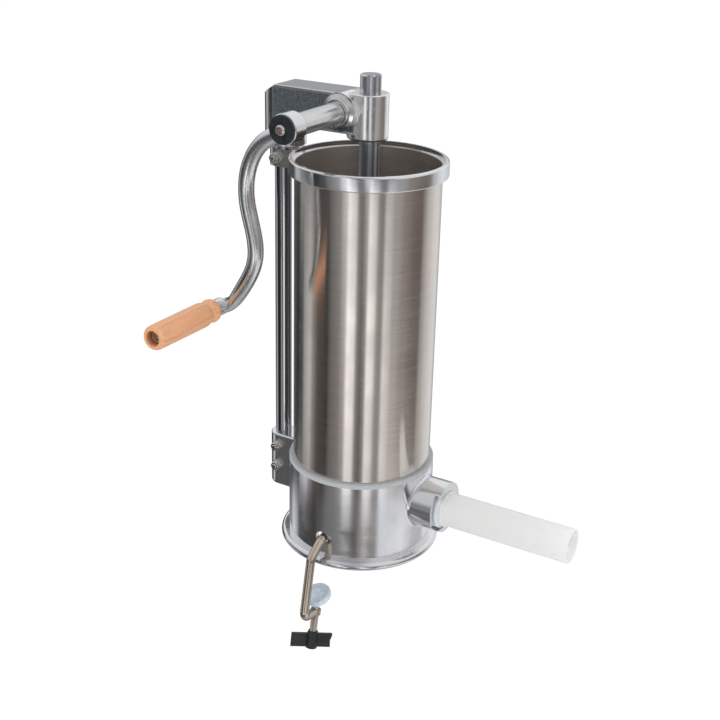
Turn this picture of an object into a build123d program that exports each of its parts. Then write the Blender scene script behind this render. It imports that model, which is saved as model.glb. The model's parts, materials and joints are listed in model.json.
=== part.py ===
"""Hand-cranked vertical sausage stuffer, in millimetres.

A polished base casting carries a meat cylinder. A column rod at the back ties the base,
the cylinder's top ring and the head together. A crank on the head turns a pinion that
drives a round rack and a piston through the cylinder, and the meat leaves through a
nozzle that slides into a channel on the base. A screw clamp holds the base to a table.

Frame: origin at the centre of the foot's underside, on the cylinder's axis. +Z is up,
+X points along the nozzle, the column stands at -X and the crank is on the -Y side.
"""

from build123d import *
from math import acos, cos, pi, radians, sin, tan
import os

os.makedirs("parts", exist_ok=True)

# ---------------------------------------------------------------- driving dimensions
# Base casting
FOOT_R = 74.6
BEAD_R = 3.9
WALL_R = 67.4
WALL_T = 5.0
RIM_Z = 81.3
FLOOR_Z = 36.6
POCKET_Z = 33.0
BOWL_FILLET = 1.5
SPIGOT_FILLET = 3.0
SOFT_EDGE = 1.0

# Outlet spigot and the open channel that holds the nozzle's flange
OUTLET_Z = 52.1
SPIGOT_Z = 53.6
SPIGOT_R = 23.6
OUTLET_BORE_R = 14.0
SPIGOT_FACE_X = 86.4
FLANGE_R = 18.8
FLANGE_T = 3.6
CHANNEL_CLEAR = 0.2
LIP_T = 1.5
NOZZLE_R = 15.6
COLLAR_R = 16.6
COLLAR_END_X = 93.8
NOZZLE_WALL = 1.6
NOZZLE_END_X = 213.5

# Cylinder, its gasket and its top ring
CYLINDER_R = 63.6
CYLINDER_WALL = 0.8
GASKET_T = 1.5
GASKET_LIP_H = 2.2
GASKET_SKIRT_H = 4.0
CYLINDER_TOP_Z = 360.5
RING_R = 69.0
RING_BOTTOM_Z = 351.9
RING_TOP_Z = 365.2
RING_MOUTH_R = 65.6
RING_LUG_BOTTOM_Z = 347.0
RING_LUG_TOP_Z = 363.0
RING_LUG_R = 11.8
RING_TOP_FILLET = 2.0
SLIT_W = 1.4

# Column
COLUMN_X = -87.4
ROD_R = 7.6
ROD_BOTTOM_Z = 34.0
ROD_TOP_Z = 414.0
LUG_R = 11.8
LUG_BOTTOM_Z = 29.6
LUG_TOP_Z = 84.8
LUG_TOP_FILLET = 2.0
LUG_BOTTOM_FILLET = 3.0
LUG_BOLT_Z = (51.5, 72.4)
RING_BOLT_Z = 355.0

# Head casting
HEAD_R = 16.0
ARM_BOTTOM_Z = 386.0
HEAD_TOP_Z = 419.8
NOSE_BOTTOM_Z = 381.0
NOSE_FILLET = 2.0
NOSE_STRETCH = 4.0
COLUMN_BOSS_BOTTOM_Z = 366.0
COLUMN_BOSS_STRETCH = 5.5
REAR_BEVEL_X = -85.0
REAR_BEVEL_DROP = 12.0
BOSS_R = 16.3
BOSS_FACE_Y = -19.5
BACK_BOSS_R = 12.0
BACK_BOSS_Y = 19.0
LOCK_SCREW_Z = 376.0

# Rack and pinion
MODULE = 1.5
PINION_TEETH = 16
PRESSURE_ANGLE = radians(20)
BACKLASH = 0.14
PITCH_R = MODULE * PINION_TEETH / 2
TIP_R = PITCH_R + MODULE
ROOT_R = PITCH_R - 1.25 * MODULE
BASE_CIRCLE_R = PITCH_R * cos(PRESSURE_ANGLE)
TOOTH_PITCH = pi * MODULE
PINION_Z = 404.3
PITCH_LINE_X = -7.0
PINION_X = PITCH_LINE_X - PITCH_R
PINION_HALF_W = 8.0
FLANK_STEPS = 5
ROOT_OVERLAP = 0.98
KEY_W = 4.0
CHAMBER_CLEAR = 0.7
BACK_BUSH_R = 8.5
BUSH_FLANGE_R = 15.2
BUSH_FLANGE_T = 1.2
BUSH_NOSE_R = 12.0
BUSH_FACE_Y = -24.5
RACK_R = 9.0
RACK_ADDENDUM = 0.9 * MODULE
RACK_DEDENDUM = 1.25 * MODULE
RACK_TOP_Z = 435.3
GAPS_ABOVE = 3
GAPS_BELOW = 61

# Piston
PISTON_BOTTOM_Z = 90.0
PISTON_T = 12.0
PISTON_R = 61.5
SOCKET_DEPTH = 6.0
SEAL_GROOVE_R = 55.0
SEAL_H = 6.0
SEAL_CLEAR = 0.08

# Crank and its shaft
JOURNAL_R = 6.0
SHAFT_R = 9.2
SHAFT_BACK_Y = 13.0
SHAFT_SHOULDER_Y = -25.0
EYE_BACK_Y = -87.2
EYE_FRONT_Y = -102.8
EYE_R = 12.5
DRIVE_FLAT = 4.6
DISC_R = 11.8
DISC_T = 2.2
DISC_FILLET = 0.7
ARM_Y = -94.0
ARM_END_Y = -91.0
ARM_R = 6.7
ARM_END_R = 5.4
ARM_TAPER_START = 0.8
ARM_SECTIONS = 12
GRIP_X = -94.0
GRIP_Z = 238.0
# Centreline of the S-shaped arm in the X-Z plane, from the eye down to the grip's boss.
ARM_POINTS = (
    (PINION_X, PINION_Z),
    (-46.8, 386.4),
    (-60.7, 344.0),
    (-54.3, 313.5),
    (-54.8, 282.0),
    (-71.6, 251.6),
)
ARM_TANGENTS = ((-0.87, -0.5), (-0.9, -0.44))
ARM_BOSS_R = 7.7
ARM_BOSS_FRONT_Y = -98.6
ARM_BOSS_BACK_Y = -85.6
ARM_BOSS_FILLET = 2.5

# Wooden grip
GRIP_START_Y = -98.8
GRIP_END_Y = -180.0
GRIP_FACE_R = 8.8
GRIP_BEAD = ((10.4, -102.6), (9.0, -106.8))
GRIP_NECK = ((8.3, -109.2), (9.6, -112.2))
GRIP_BODY = ((10.9, -119.0), (10.6, -176.6))
GRIP_END_R = 9.2
COUNTERBORE_R = 6.6
COUNTERBORE_DEPTH = 7.0
SPINDLE_R = 3.5

# Table clamp, drawn upright about the hole in the base and then leaned outwards
CLAMP_PIVOT_Z = 25.0
CLAMP_HOLE_X = -0.9
CLAMP_HOLE_Z = 25.3
CLAMP_HOLE_R = 6.2
CLAMP_LEAN = 11.5
CLAMP_ROD_R = 4.1
CLAMP_LEG_U = -18.9
CLAMP_SCREW_U = 1.6
CLAMP_ARM_W = -74.0
CLAMP_BEND_R = 6.5
CLAMP_TIP_UW = (8.0, 4.4)
CLAMP_KNEE_UW = (-6.6, -3.6)
CLAMP_SHOULDER_W = -16.0
CLAMP_NUT_R = 4.9
CLAMP_NUT_H = 5.4
CLAMP_SCREW_R = 3.5
PAD_R = 12.6
PAD_T = 6.4
PAD_CENTRE_W = -57.5
PAD_FACE_R = 8.6
PAD_DOME = 1.4
PAD_EDGE = 2.0
PAD_TILT = 30.0
PAD_TURN = 30.0
PAD_HUB_R = 6.0
PAD_HUB_BOTTOM_W = -66.0
BALL_W = -61.0
BALL_R = 3.0
BALL_NECK_R = 2.2
WING_TOP_W = -96.3
WING_H = 12.8
WING_SPAN = 39.3
WING_T = 3.6
WING_NOTCH = 2.2
WING_HUB_R = 5.4
WING_HUB_DROP = 0.9
WING_NECK_R = 4.3
WING_NECK_H = 3.2
WING_TURN = 30.0
WING_SOCKET_DEPTH = 10.0

# Fasteners and fits
BOLT_R = 2.45
BOLT_HOLE_R = 2.65
NUT_FLATS = 8.0
NUT_H = 4.0
NUT_BORE_R = 2.5
NUT_CORNER = 0.8
WASHER_R = 5.0
WASHER_T = 1.0
BOLT_HEAD_H = 3.5
TIP_CHAMFER = 0.5
BOLT_PROUD = 1.0
LOCK_SCREW_R = 4.0
LOCK_SCREW_HEX = 4.0
CRANK_SCREW_R = 2.5
CRANK_SCREW_L = 16.0
CRANK_SCREW_HEAD_R = 4.5
CRANK_SCREW_HEAD_H = 2.8
SPINDLE_THREAD_L = 10.0
SPINDLE_HEAD_R = 5.2
SPINDLE_HEAD_H = 3.2
HEAD_CROWN = 0.7
RECESS_SPAN = 1.15
RECESS_SLOT = 0.32
RECESS_DEPTH = 0.7
RECESS_TAPER = 12.0
PISTON_SCREW_R = 4.0
PISTON_SCREW_HEAD_R = 7.5
PISTON_SCREW_L = 18.0
SLOT_W = 1.6
RUN_CLEAR = 0.05
FIT_CLEAR = 0.02


# ---------------------------------------------------------------- base casting
bowl_r = WALL_R - WALL_T
lip_x = SPIGOT_FACE_X + FLANGE_T + 2 * CHANNEL_CLEAR
channel_end_x = lip_x + LIP_T
channel_r = FLANGE_R + CHANNEL_CLEAR
spigot_start_x = bowl_r - WALL_T
minus_y = dict(x_dir=(1, 0, 0), z_dir=(0, -1, 0))

with BuildPart() as base_casting:
    with BuildSketch(Plane.XY.offset(LUG_BOTTOM_Z)):
        with Locations((COLUMN_X, 0)):
            Circle(LUG_R)
        with Locations(((COLUMN_X - bowl_r) / 2, 0)):
            Rectangle(-COLUMN_X - bowl_r, 2 * LUG_R)
    extrude(amount=LUG_TOP_Z - LUG_BOTTOM_Z)
    fillet(base_casting.edges().group_by(Axis.Z)[-1], radius=LUG_TOP_FILLET)
    fillet(base_casting.edges().group_by(Axis.Z)[0], radius=LUG_BOTTOM_FILLET)
    # Seat for the gasket, cut back into the lug.
    with BuildSketch(Plane.XY.offset(RIM_Z)):
        Circle(WALL_R + RUN_CLEAR)
    extrude(amount=LUG_TOP_Z - RIM_Z, mode=Mode.SUBTRACT)
    with BuildSketch(Plane.XZ):
        with BuildLine():
            foot_in = (bowl_r, 0)
            foot_out = (FOOT_R - BEAD_R, 0)
            bead_side = (FOOT_R, BEAD_R)
            bead_top = (FOOT_R - BEAD_R, 2 * BEAD_R)
            Line(foot_in, foot_out)
            ThreePointArc(foot_out, bead_side, bead_top)
            Polyline(
                bead_top,
                (WALL_R, 2 * BEAD_R),
                (WALL_R, RIM_Z),
                (0, RIM_Z),
                (0, POCKET_Z),
                (bowl_r, POCKET_Z),
                foot_in,
            )
        make_face()
    revolve(axis=Axis.Z)
    # The spigot joins the wall before the bowl is cut out of both.
    with BuildSketch(Plane.YZ.offset(spigot_start_x)):
        with Locations((0, SPIGOT_Z)):
            Circle(SPIGOT_R)
    extrude(amount=channel_end_x - spigot_start_x)
    spigot_root = base_casting.edges().filter_by(
        lambda e: e.center().X > bowl_r and e.center().X < WALL_R + WALL_T
        and abs(e.center().Z - SPIGOT_Z) < WALL_T
        and e.geom_type not in (GeomType.LINE, GeomType.CIRCLE)
    )
    fillet(spigot_root, radius=SPIGOT_FILLET)
    with BuildSketch(Plane.XZ):
        with Locations((0, FLOOR_Z)):
            Rectangle(bowl_r, RIM_Z - FLOOR_Z, align=(Align.MIN, Align.MIN))
    revolve(axis=Axis.Z, mode=Mode.SUBTRACT)
    floor_edge = base_casting.edges().filter_by(GeomType.CIRCLE).filter_by(
        lambda e: abs(e.center().Z - FLOOR_Z) < SOFT_EDGE and e.radius > bowl_r - SOFT_EDGE
    )
    fillet(floor_edge, radius=BOWL_FILLET)
    with BuildSketch(Plane.YZ):
        with Locations((0, OUTLET_Z)):
            Circle(OUTLET_BORE_R)
    extrude(amount=channel_end_x, mode=Mode.SUBTRACT)
    # Channel for the flange, open towards -Y, and the narrower one for the tube.
    for start_x, depth, half in (
        (SPIGOT_FACE_X, channel_end_x - SPIGOT_FACE_X, COLLAR_R + CHANNEL_CLEAR),
        (SPIGOT_FACE_X, lip_x - SPIGOT_FACE_X, channel_r),
    ):
        with BuildSketch(Plane.YZ.offset(start_x)):
            with Locations((0, OUTLET_Z)):
                Circle(half)
                Rectangle(2 * SPIGOT_R, 2 * half, align=(Align.MAX, Align.CENTER))
        extrude(amount=depth, mode=Mode.SUBTRACT)
    # Blind socket for the column rod and its two cross holes.
    with Locations(Plane((COLUMN_X, 0, LUG_TOP_Z))):
        Hole(ROD_R + RUN_CLEAR, depth=LUG_TOP_Z - ROD_BOTTOM_Z)
    for bolt_z in LUG_BOLT_Z:
        with Locations(Plane((COLUMN_X, -LUG_R, bolt_z), **minus_y)):
            Hole(BOLT_HOLE_R, depth=2 * LUG_R)
    # Hole that the clamp rod hooks into.
    with Locations(Plane((CLAMP_HOLE_X, -WALL_R, CLAMP_HOLE_Z), **minus_y)):
        Hole(CLAMP_HOLE_R, depth=2 * WALL_T)
base_casting.part.label = "base_casting"
export_step(base_casting.part, "parts/base_casting.step")


# ---------------------------------------------------------------- gasket and cylinder
cylinder_bottom_z = RIM_Z + GASKET_T
cylinder_bore_r = CYLINDER_R - CYLINDER_WALL

with BuildPart() as base_gasket:
    with BuildSketch(Plane.XZ):
        with BuildLine():
            Polyline(
                (cylinder_bore_r - GASKET_T, RIM_Z - GASKET_SKIRT_H),
                (bowl_r - RUN_CLEAR, RIM_Z - GASKET_SKIRT_H),
                (bowl_r - RUN_CLEAR, RIM_Z),
                (WALL_R, RIM_Z),
                (WALL_R, cylinder_bottom_z + GASKET_LIP_H),
                (CYLINDER_R, cylinder_bottom_z + GASKET_LIP_H),
                (CYLINDER_R, cylinder_bottom_z),
                (cylinder_bore_r - GASKET_T, cylinder_bottom_z),
                close=True,
            )
        make_face()
    revolve(axis=Axis.Z)
    top_edges = base_gasket.edges().filter_by(GeomType.CIRCLE).group_by(Axis.Z)[-1]
    fillet(top_edges.sort_by(SortBy.RADIUS)[-1], radius=SOFT_EDGE)
base_gasket.part.label = "base_gasket"
export_step(base_gasket.part, "parts/base_gasket.step")

with BuildPart() as cylinder:
    with BuildSketch(Plane.XY.offset(cylinder_bottom_z)):
        Circle(CYLINDER_R)
        Circle(cylinder_bore_r, mode=Mode.SUBTRACT)
    extrude(amount=CYLINDER_TOP_Z - cylinder_bottom_z)
cylinder.part.label = "cylinder"
export_step(cylinder.part, "parts/cylinder.step")


# ---------------------------------------------------------------- top ring
with BuildPart() as top_ring:
    with BuildSketch(Plane.XY.offset(RING_BOTTOM_Z)):
        Circle(RING_R)
    extrude(amount=RING_TOP_Z - RING_BOTTOM_Z)
    fillet(top_ring.edges().group_by(Axis.Z)[-1], radius=RING_TOP_FILLET)
    fillet(top_ring.edges().group_by(Axis.Z)[0], radius=SOFT_EDGE)
    with BuildSketch(Plane.XY.offset(RING_LUG_BOTTOM_Z)):
        with Locations((COLUMN_X, 0)):
            Circle(RING_LUG_R)
        with Locations(((COLUMN_X - CYLINDER_R) / 2, 0)):
            Rectangle(-COLUMN_X - CYLINDER_R, 2 * RING_LUG_R)
    extrude(amount=RING_LUG_TOP_Z - RING_LUG_BOTTOM_Z)
    # Bore for the cylinder, opening out above the cylinder's edge.
    with BuildSketch(Plane.XZ):
        with BuildLine():
            Polyline(
                (0, RING_LUG_BOTTOM_Z),
                (CYLINDER_R + RUN_CLEAR, RING_LUG_BOTTOM_Z),
                (CYLINDER_R + RUN_CLEAR, CYLINDER_TOP_Z),
                (RING_MOUTH_R, CYLINDER_TOP_Z),
                (RING_MOUTH_R, RING_TOP_Z),
                (0, RING_TOP_Z),
                close=True,
            )
        make_face()
    revolve(axis=Axis.Z, mode=Mode.SUBTRACT)
    with Locations(Plane((COLUMN_X, 0, RING_LUG_TOP_Z))):
        Hole(ROD_R + RUN_CLEAR, depth=RING_LUG_TOP_Z - RING_LUG_BOTTOM_Z)
    with BuildSketch(Plane.XY.offset(RING_LUG_BOTTOM_Z)):
        with Locations((COLUMN_X, 0)):
            Rectangle(-2 * COLUMN_X - 2 * CYLINDER_R + 2 * WALL_T, SLIT_W)
    extrude(amount=RING_TOP_Z - RING_LUG_BOTTOM_Z, mode=Mode.SUBTRACT)
    with Locations(Plane((COLUMN_X, -RING_LUG_R, RING_BOLT_Z), **minus_y)):
        Hole(BOLT_HOLE_R, depth=2 * RING_LUG_R)
top_ring.part.label = "top_ring"
export_step(top_ring.part, "parts/top_ring.step")


# ---------------------------------------------------------------- column rod
with BuildPart() as column_rod:
    with BuildSketch(Plane.XY.offset(ROD_BOTTOM_Z)):
        with Locations((COLUMN_X, 0)):
            Circle(ROD_R)
    extrude(amount=ROD_TOP_Z - ROD_BOTTOM_Z)
    chamfer(column_rod.edges().filter_by(GeomType.CIRCLE), length=SOFT_EDGE)
    for bolt_z in (*LUG_BOLT_Z, RING_BOLT_Z):
        with Locations(Plane((COLUMN_X, -ROD_R, bolt_z), **minus_y)):
            Hole(BOLT_HOLE_R, depth=2 * ROD_R)
column_rod.part.label = "column_rod"
export_step(column_rod.part, "parts/column_rod.step")


# ---------------------------------------------------------------- cross bolts in the lugs
def lug_side(side, distance):
    """A sketch plane facing out of a lug: side 1 is the -Y face, side -1 the +Y face."""
    return Plane((COLUMN_X, -side * distance, 0), x_dir=(side, 0, 0), z_dir=(0, -side, 0))


def cross_washers(heights, half_width):
    """A washer on both faces of a lug at each bolt's height."""
    with BuildPart() as washers:
        for side in (1, -1):
            with BuildSketch(lug_side(side, half_width)):
                with Locations(*[(0, z) for z in heights]):
                    Circle(WASHER_R)
                    Circle(BOLT_HOLE_R, mode=Mode.SUBTRACT)
            extrude(amount=WASHER_T)
    return washers


def hexagons(plane, heights, thickness):
    """Hex blanks standing out of a plane, with the corners of the outer face turned off."""
    corner_r = NUT_FLATS / 2 / cos(pi / 6)
    with BuildPart() as blanks:
        with BuildSketch(plane):
            with Locations(*[(0, z) for z in heights]):
                Circle(corner_r)
        extrude(amount=thickness)
        outer_rims = blanks.edges().filter_by(
            lambda e: (e.center() - plane.origin).dot(plane.z_dir) > RUN_CLEAR
        )
        chamfer(outer_rims, length=NUT_CORNER)
        with BuildSketch(plane):
            with Locations(*[(0, z) for z in heights]):
                RegularPolygon(NUT_FLATS / 2, side_count=6, major_radius=False)
        extrude(amount=thickness, mode=Mode.INTERSECT)
    return blanks


def cross_bolts(heights, half_width):
    """Hex bolts through a lug, heads on the +Y side and ends standing proud of the nuts."""
    seat = half_width + WASHER_T
    with BuildPart() as bolts:
        with BuildSketch(lug_side(1, -seat)):
            with Locations(*[(0, z) for z in heights]):
                Circle(BOLT_R)
        extrude(amount=2 * seat + NUT_H + BOLT_PROUD)
        chamfer(bolts.edges().filter_by(GeomType.CIRCLE).group_by(Axis.Y)[0], length=TIP_CHAMFER)
        add(hexagons(lug_side(-1, seat), heights, BOLT_HEAD_H).part)
    return bolts


def cross_nuts(heights, half_width):
    """Hex nuts on the -Y side."""
    seat = half_width + WASHER_T
    with BuildPart() as nuts:
        add(hexagons(lug_side(1, seat), heights, NUT_H).part)
        with BuildSketch(lug_side(1, seat)):
            with Locations(*[(0, z) for z in heights]):
                Circle(NUT_BORE_R)
        extrude(amount=NUT_H, mode=Mode.SUBTRACT)
    return nuts


base_lug_washers = cross_washers(LUG_BOLT_Z, LUG_R)
base_lug_washers.part.label = "base_lug_washers"
export_step(base_lug_washers.part, "parts/base_lug_washers.step")

base_lug_bolts = cross_bolts(LUG_BOLT_Z, LUG_R)
base_lug_bolts.part.label = "base_lug_bolts"
export_step(base_lug_bolts.part, "parts/base_lug_bolts.step")

base_lug_nuts = cross_nuts(LUG_BOLT_Z, LUG_R)
base_lug_nuts.part.label = "base_lug_nuts"
export_step(base_lug_nuts.part, "parts/base_lug_nuts.step")

ring_washers = cross_washers((RING_BOLT_Z,), RING_LUG_R)
ring_washers.part.label = "ring_washers"
export_step(ring_washers.part, "parts/ring_washers.step")

ring_bolt = cross_bolts((RING_BOLT_Z,), RING_LUG_R)
ring_bolt.part.label = "ring_bolt"
export_step(ring_bolt.part, "parts/ring_bolt.step")

ring_nut = cross_nuts((RING_BOLT_Z,), RING_LUG_R)
ring_nut.part.label = "ring_nut"
export_step(ring_nut.part, "parts/ring_nut.step")


# ---------------------------------------------------------------- head casting
pinion_chamber_r = TIP_R + CHAMBER_CLEAR
arm_centre_x = COLUMN_X / 2

with BuildPart() as head_casting:
    with BuildSketch(Plane.XY.offset(ARM_BOTTOM_Z)):
        with Locations((arm_centre_x, 0)):
            SlotCenterToCenter(-COLUMN_X, 2 * HEAD_R)
    extrude(amount=HEAD_TOP_Z - ARM_BOTTOM_Z)
    with BuildSketch(Plane.XY.offset(COLUMN_BOSS_BOTTOM_Z)):
        with Locations((COLUMN_X + COLUMN_BOSS_STRETCH / 2, 0)):
            SlotCenterToCenter(COLUMN_BOSS_STRETCH, 2 * HEAD_R)
    extrude(amount=ARM_BOTTOM_Z - COLUMN_BOSS_BOTTOM_Z)
    with BuildSketch(Plane.XY.offset(NOSE_BOTTOM_Z)):
        with Locations((-NOSE_STRETCH / 2, 0)):
            SlotCenterToCenter(NOSE_STRETCH, 2 * HEAD_R)
    extrude(amount=ARM_BOTTOM_Z - NOSE_BOTTOM_Z)
    fillet(head_casting.edges().group_by(Axis.Z)[0], radius=SOFT_EDGE)
    nose_rim = head_casting.edges().filter_by(lambda e: abs(e.center().Z - NOSE_BOTTOM_Z) < RUN_CLEAR)
    fillet(nose_rim, radius=NOSE_FILLET)
    # The back end's top slopes away, as the pattern draws out of the mould.
    with BuildSketch(Plane.XZ.offset(-HEAD_R)):
        with BuildLine():
            Polyline(
                (REAR_BEVEL_X, HEAD_TOP_Z),
                (COLUMN_X - HEAD_R, HEAD_TOP_Z - REAR_BEVEL_DROP),
                (COLUMN_X - HEAD_R, HEAD_TOP_Z),
                close=True,
            )
        make_face()
    extrude(amount=2 * HEAD_R, mode=Mode.SUBTRACT)
    fillet(head_casting.edges().group_by(Axis.Z)[-1], radius=SOFT_EDGE)
    # Bosses for the pinion shaft's two bushes.
    with BuildSketch(Plane.XZ):
        with Locations((PINION_X, PINION_Z)):
            Circle(BOSS_R)
    extrude(amount=-BOSS_FACE_Y)
    with BuildSketch(Plane.XZ):
        with Locations((PINION_X, PINION_Z)):
            Circle(BACK_BOSS_R)
    extrude(amount=-BACK_BOSS_Y)
    # Pinion chamber, bush seats, rack bore and column socket.
    with Locations(Plane((PINION_X, BOSS_FACE_Y, PINION_Z), **minus_y)):
        Hole(pinion_chamber_r, depth=PINION_HALF_W + SOFT_EDGE - BOSS_FACE_Y)
    with Locations(Plane((PINION_X, BOSS_FACE_Y, PINION_Z), **minus_y)):
        Hole(BACK_BUSH_R + FIT_CLEAR, depth=SHAFT_BACK_Y + 2 * SOFT_EDGE - BOSS_FACE_Y)
    with Locations(Plane((0, 0, HEAD_TOP_Z))):
        Hole(RACK_R + RUN_CLEAR, depth=HEAD_TOP_Z - NOSE_BOTTOM_Z)
    with Locations(Plane((COLUMN_X, 0, COLUMN_BOSS_BOTTOM_Z), x_dir=(1, 0, 0), z_dir=(0, 0, -1))):
        Hole(ROD_R + RUN_CLEAR, depth=ROD_TOP_Z - COLUMN_BOSS_BOTTOM_Z)
    # Tapped hole for the lock screw, from the +Y side to the column socket.
    with Locations(Plane((COLUMN_X, HEAD_R, LOCK_SCREW_Z), x_dir=(1, 0, 0), z_dir=(0, 1, 0))):
        Hole(LOCK_SCREW_R + FIT_CLEAR, depth=HEAD_R)
head_casting.part.label = "head_casting"
export_step(head_casting.part, "parts/head_casting.step")

with BuildPart() as head_lock_screw:
    with BuildSketch(Plane.XZ.offset(-ROD_R - RUN_CLEAR)):
        with Locations((COLUMN_X, LOCK_SCREW_Z)):
            Circle(LOCK_SCREW_R)
    extrude(amount=-(HEAD_R - ROD_R - SOFT_EDGE))
    chamfer(head_lock_screw.edges().filter_by(GeomType.CIRCLE), length=SOFT_EDGE / 2)
    with BuildSketch(Plane.XZ.offset(-HEAD_R + SOFT_EDGE)):
        with Locations((COLUMN_X, LOCK_SCREW_Z)):
            RegularPolygon(LOCK_SCREW_HEX / 2, side_count=6, major_radius=False)
    extrude(amount=LOCK_SCREW_HEX, mode=Mode.SUBTRACT)
head_lock_screw.part.label = "head_lock_screw"
export_step(head_lock_screw.part, "parts/head_lock_screw.step")


# ---------------------------------------------------------------- shaft bushes
journal_bore_r = JOURNAL_R + RUN_CLEAR
front_bush_back_y = -PINION_HALF_W - SOFT_EDGE

with BuildPart() as shaft_bush:
    with BuildSketch(Plane((PINION_X, 0, PINION_Z), x_dir=(1, 0, 0), z_dir=(0, 0, 1))):
        with BuildLine():
            Polyline(
                (journal_bore_r, front_bush_back_y),
                (pinion_chamber_r - FIT_CLEAR, front_bush_back_y),
                (pinion_chamber_r - FIT_CLEAR, BOSS_FACE_Y),
                (BUSH_FLANGE_R, BOSS_FACE_Y),
                (BUSH_FLANGE_R, BOSS_FACE_Y - BUSH_FLANGE_T),
                (BUSH_NOSE_R, BOSS_FACE_Y - 2 * BUSH_FLANGE_T),
                (BUSH_NOSE_R, BUSH_FACE_Y),
                (journal_bore_r, BUSH_FACE_Y),
                close=True,
            )
        make_face()
    revolve(axis=Axis((PINION_X, 0, PINION_Z), (0, 1, 0)))
    fillet(shaft_bush.edges().group_by(Axis.Y)[0].sort_by(SortBy.RADIUS)[-1], radius=SOFT_EDGE)
shaft_bush.part.label = "shaft_bush"
export_step(shaft_bush.part, "parts/shaft_bush.step")

with BuildPart() as back_bush:
    with BuildSketch(Plane.XZ.offset(-PINION_HALF_W - SOFT_EDGE)):
        with Locations((PINION_X, PINION_Z)):
            Circle(BACK_BUSH_R)
            Circle(journal_bore_r, mode=Mode.SUBTRACT)
    extrude(amount=-(SHAFT_BACK_Y - PINION_HALF_W))
back_bush.part.label = "back_bush"
export_step(back_bush.part, "parts/back_bush.step")


# ---------------------------------------------------------------- pinion, its shaft and key
pinion_axis = Axis((PINION_X, 0, PINION_Z), (0, -1, 0))


def involute(angle):
    """The involute function of a pressure angle."""
    return tan(angle) - angle


def flank_point(radius, side):
    """A point on one flank of the tooth that points along +X, seen from -Y."""
    pressure = acos(min(1.0, BASE_CIRCLE_R / radius))
    half_tooth = pi / (2 * PINION_TEETH) - BACKLASH / (2 * PITCH_R)
    angle = side * (half_tooth + involute(PRESSURE_ANGLE) - involute(pressure))
    return (radius * cos(angle), radius * sin(angle))


def below_flank(side):
    """The tooth's foot, sunk a little into the root circle under one flank."""
    start = flank_point(BASE_CIRCLE_R, side)
    sink = ROOT_R / BASE_CIRCLE_R * ROOT_OVERLAP
    return (start[0] * sink, start[1] * sink)


flank_radii = [BASE_CIRCLE_R + (TIP_R - BASE_CIRCLE_R) * i / FLANK_STEPS for i in range(FLANK_STEPS + 1)]

with BuildPart() as pinion_gear:
    with BuildSketch(Plane((PINION_X, PINION_HALF_W, PINION_Z), **minus_y)):
        Circle(ROOT_R)
        with PolarLocations(0, PINION_TEETH):
            with BuildSketch(mode=Mode.PRIVATE) as tooth:
                with BuildLine():
                    rising = Spline(*[flank_point(r, -1) for r in flank_radii])
                    falling = Spline(*[flank_point(r, 1) for r in flank_radii])
                    ThreePointArc(rising @ 1, (TIP_R, 0), falling @ 1)
                    Line(rising @ 0, below_flank(-1))
                    Line(falling @ 0, below_flank(1))
                    Line(below_flank(-1), below_flank(1))
                make_face()
            add(tooth.sketch)
        Circle(JOURNAL_R + FIT_CLEAR, mode=Mode.SUBTRACT)
        with Locations((0, JOURNAL_R)):
            Rectangle(KEY_W + 2 * FIT_CLEAR, KEY_W + 2 * FIT_CLEAR, mode=Mode.SUBTRACT)
    extrude(amount=2 * PINION_HALF_W)
pinion_gear.part.label = "pinion_gear"
export_step(pinion_gear.part, "parts/pinion_gear.step")

with BuildPart() as pinion_key:
    with BuildSketch(Plane((PINION_X, PINION_HALF_W, PINION_Z), **minus_y)):
        with Locations((0, JOURNAL_R)):
            Rectangle(KEY_W, KEY_W)
    extrude(amount=2 * PINION_HALF_W)
pinion_key.part.label = "pinion_key"
export_step(pinion_key.part, "parts/pinion_key.step")

with BuildPart() as pinion_shaft:
    with BuildSketch(Plane((PINION_X, SHAFT_BACK_Y, PINION_Z), **minus_y)):
        Circle(JOURNAL_R)
    extrude(amount=SHAFT_BACK_Y - SHAFT_SHOULDER_Y)
    chamfer(pinion_shaft.edges().group_by(Axis.Y)[-1], length=SOFT_EDGE)
    with BuildSketch(Plane((PINION_X, SHAFT_SHOULDER_Y, PINION_Z), **minus_y)):
        Circle(SHAFT_R)
    extrude(amount=SHAFT_SHOULDER_Y - EYE_BACK_Y)
    fillet(pinion_shaft.edges().filter_by(lambda e: abs(e.center().Y - SHAFT_SHOULDER_Y) < RUN_CLEAR)
           .sort_by(SortBy.RADIUS)[-1], radius=SOFT_EDGE)
    # Flatted end that drives the crank's eye.
    with BuildSketch(Plane((PINION_X, EYE_BACK_Y, PINION_Z), **minus_y)):
        Circle(JOURNAL_R)
        Rectangle(2 * JOURNAL_R, 2 * DRIVE_FLAT, mode=Mode.INTERSECT)
    extrude(amount=EYE_BACK_Y - EYE_FRONT_Y - SOFT_EDGE)
    with Locations(Plane((PINION_X, EYE_FRONT_Y, PINION_Z), **minus_y)):
        Hole(CRANK_SCREW_R + FIT_CLEAR, depth=CRANK_SCREW_L)
    with BuildSketch(Plane((PINION_X, PINION_HALF_W + SOFT_EDGE, PINION_Z), **minus_y)):
        with Locations((0, JOURNAL_R)):
            Rectangle(KEY_W + 2 * FIT_CLEAR, KEY_W + 2 * FIT_CLEAR)
    extrude(amount=2 * PINION_HALF_W + 2 * SOFT_EDGE, mode=Mode.SUBTRACT)
pinion_shaft.part.label = "pinion_shaft"
export_step(pinion_shaft.part, "parts/pinion_shaft.step")


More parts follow.
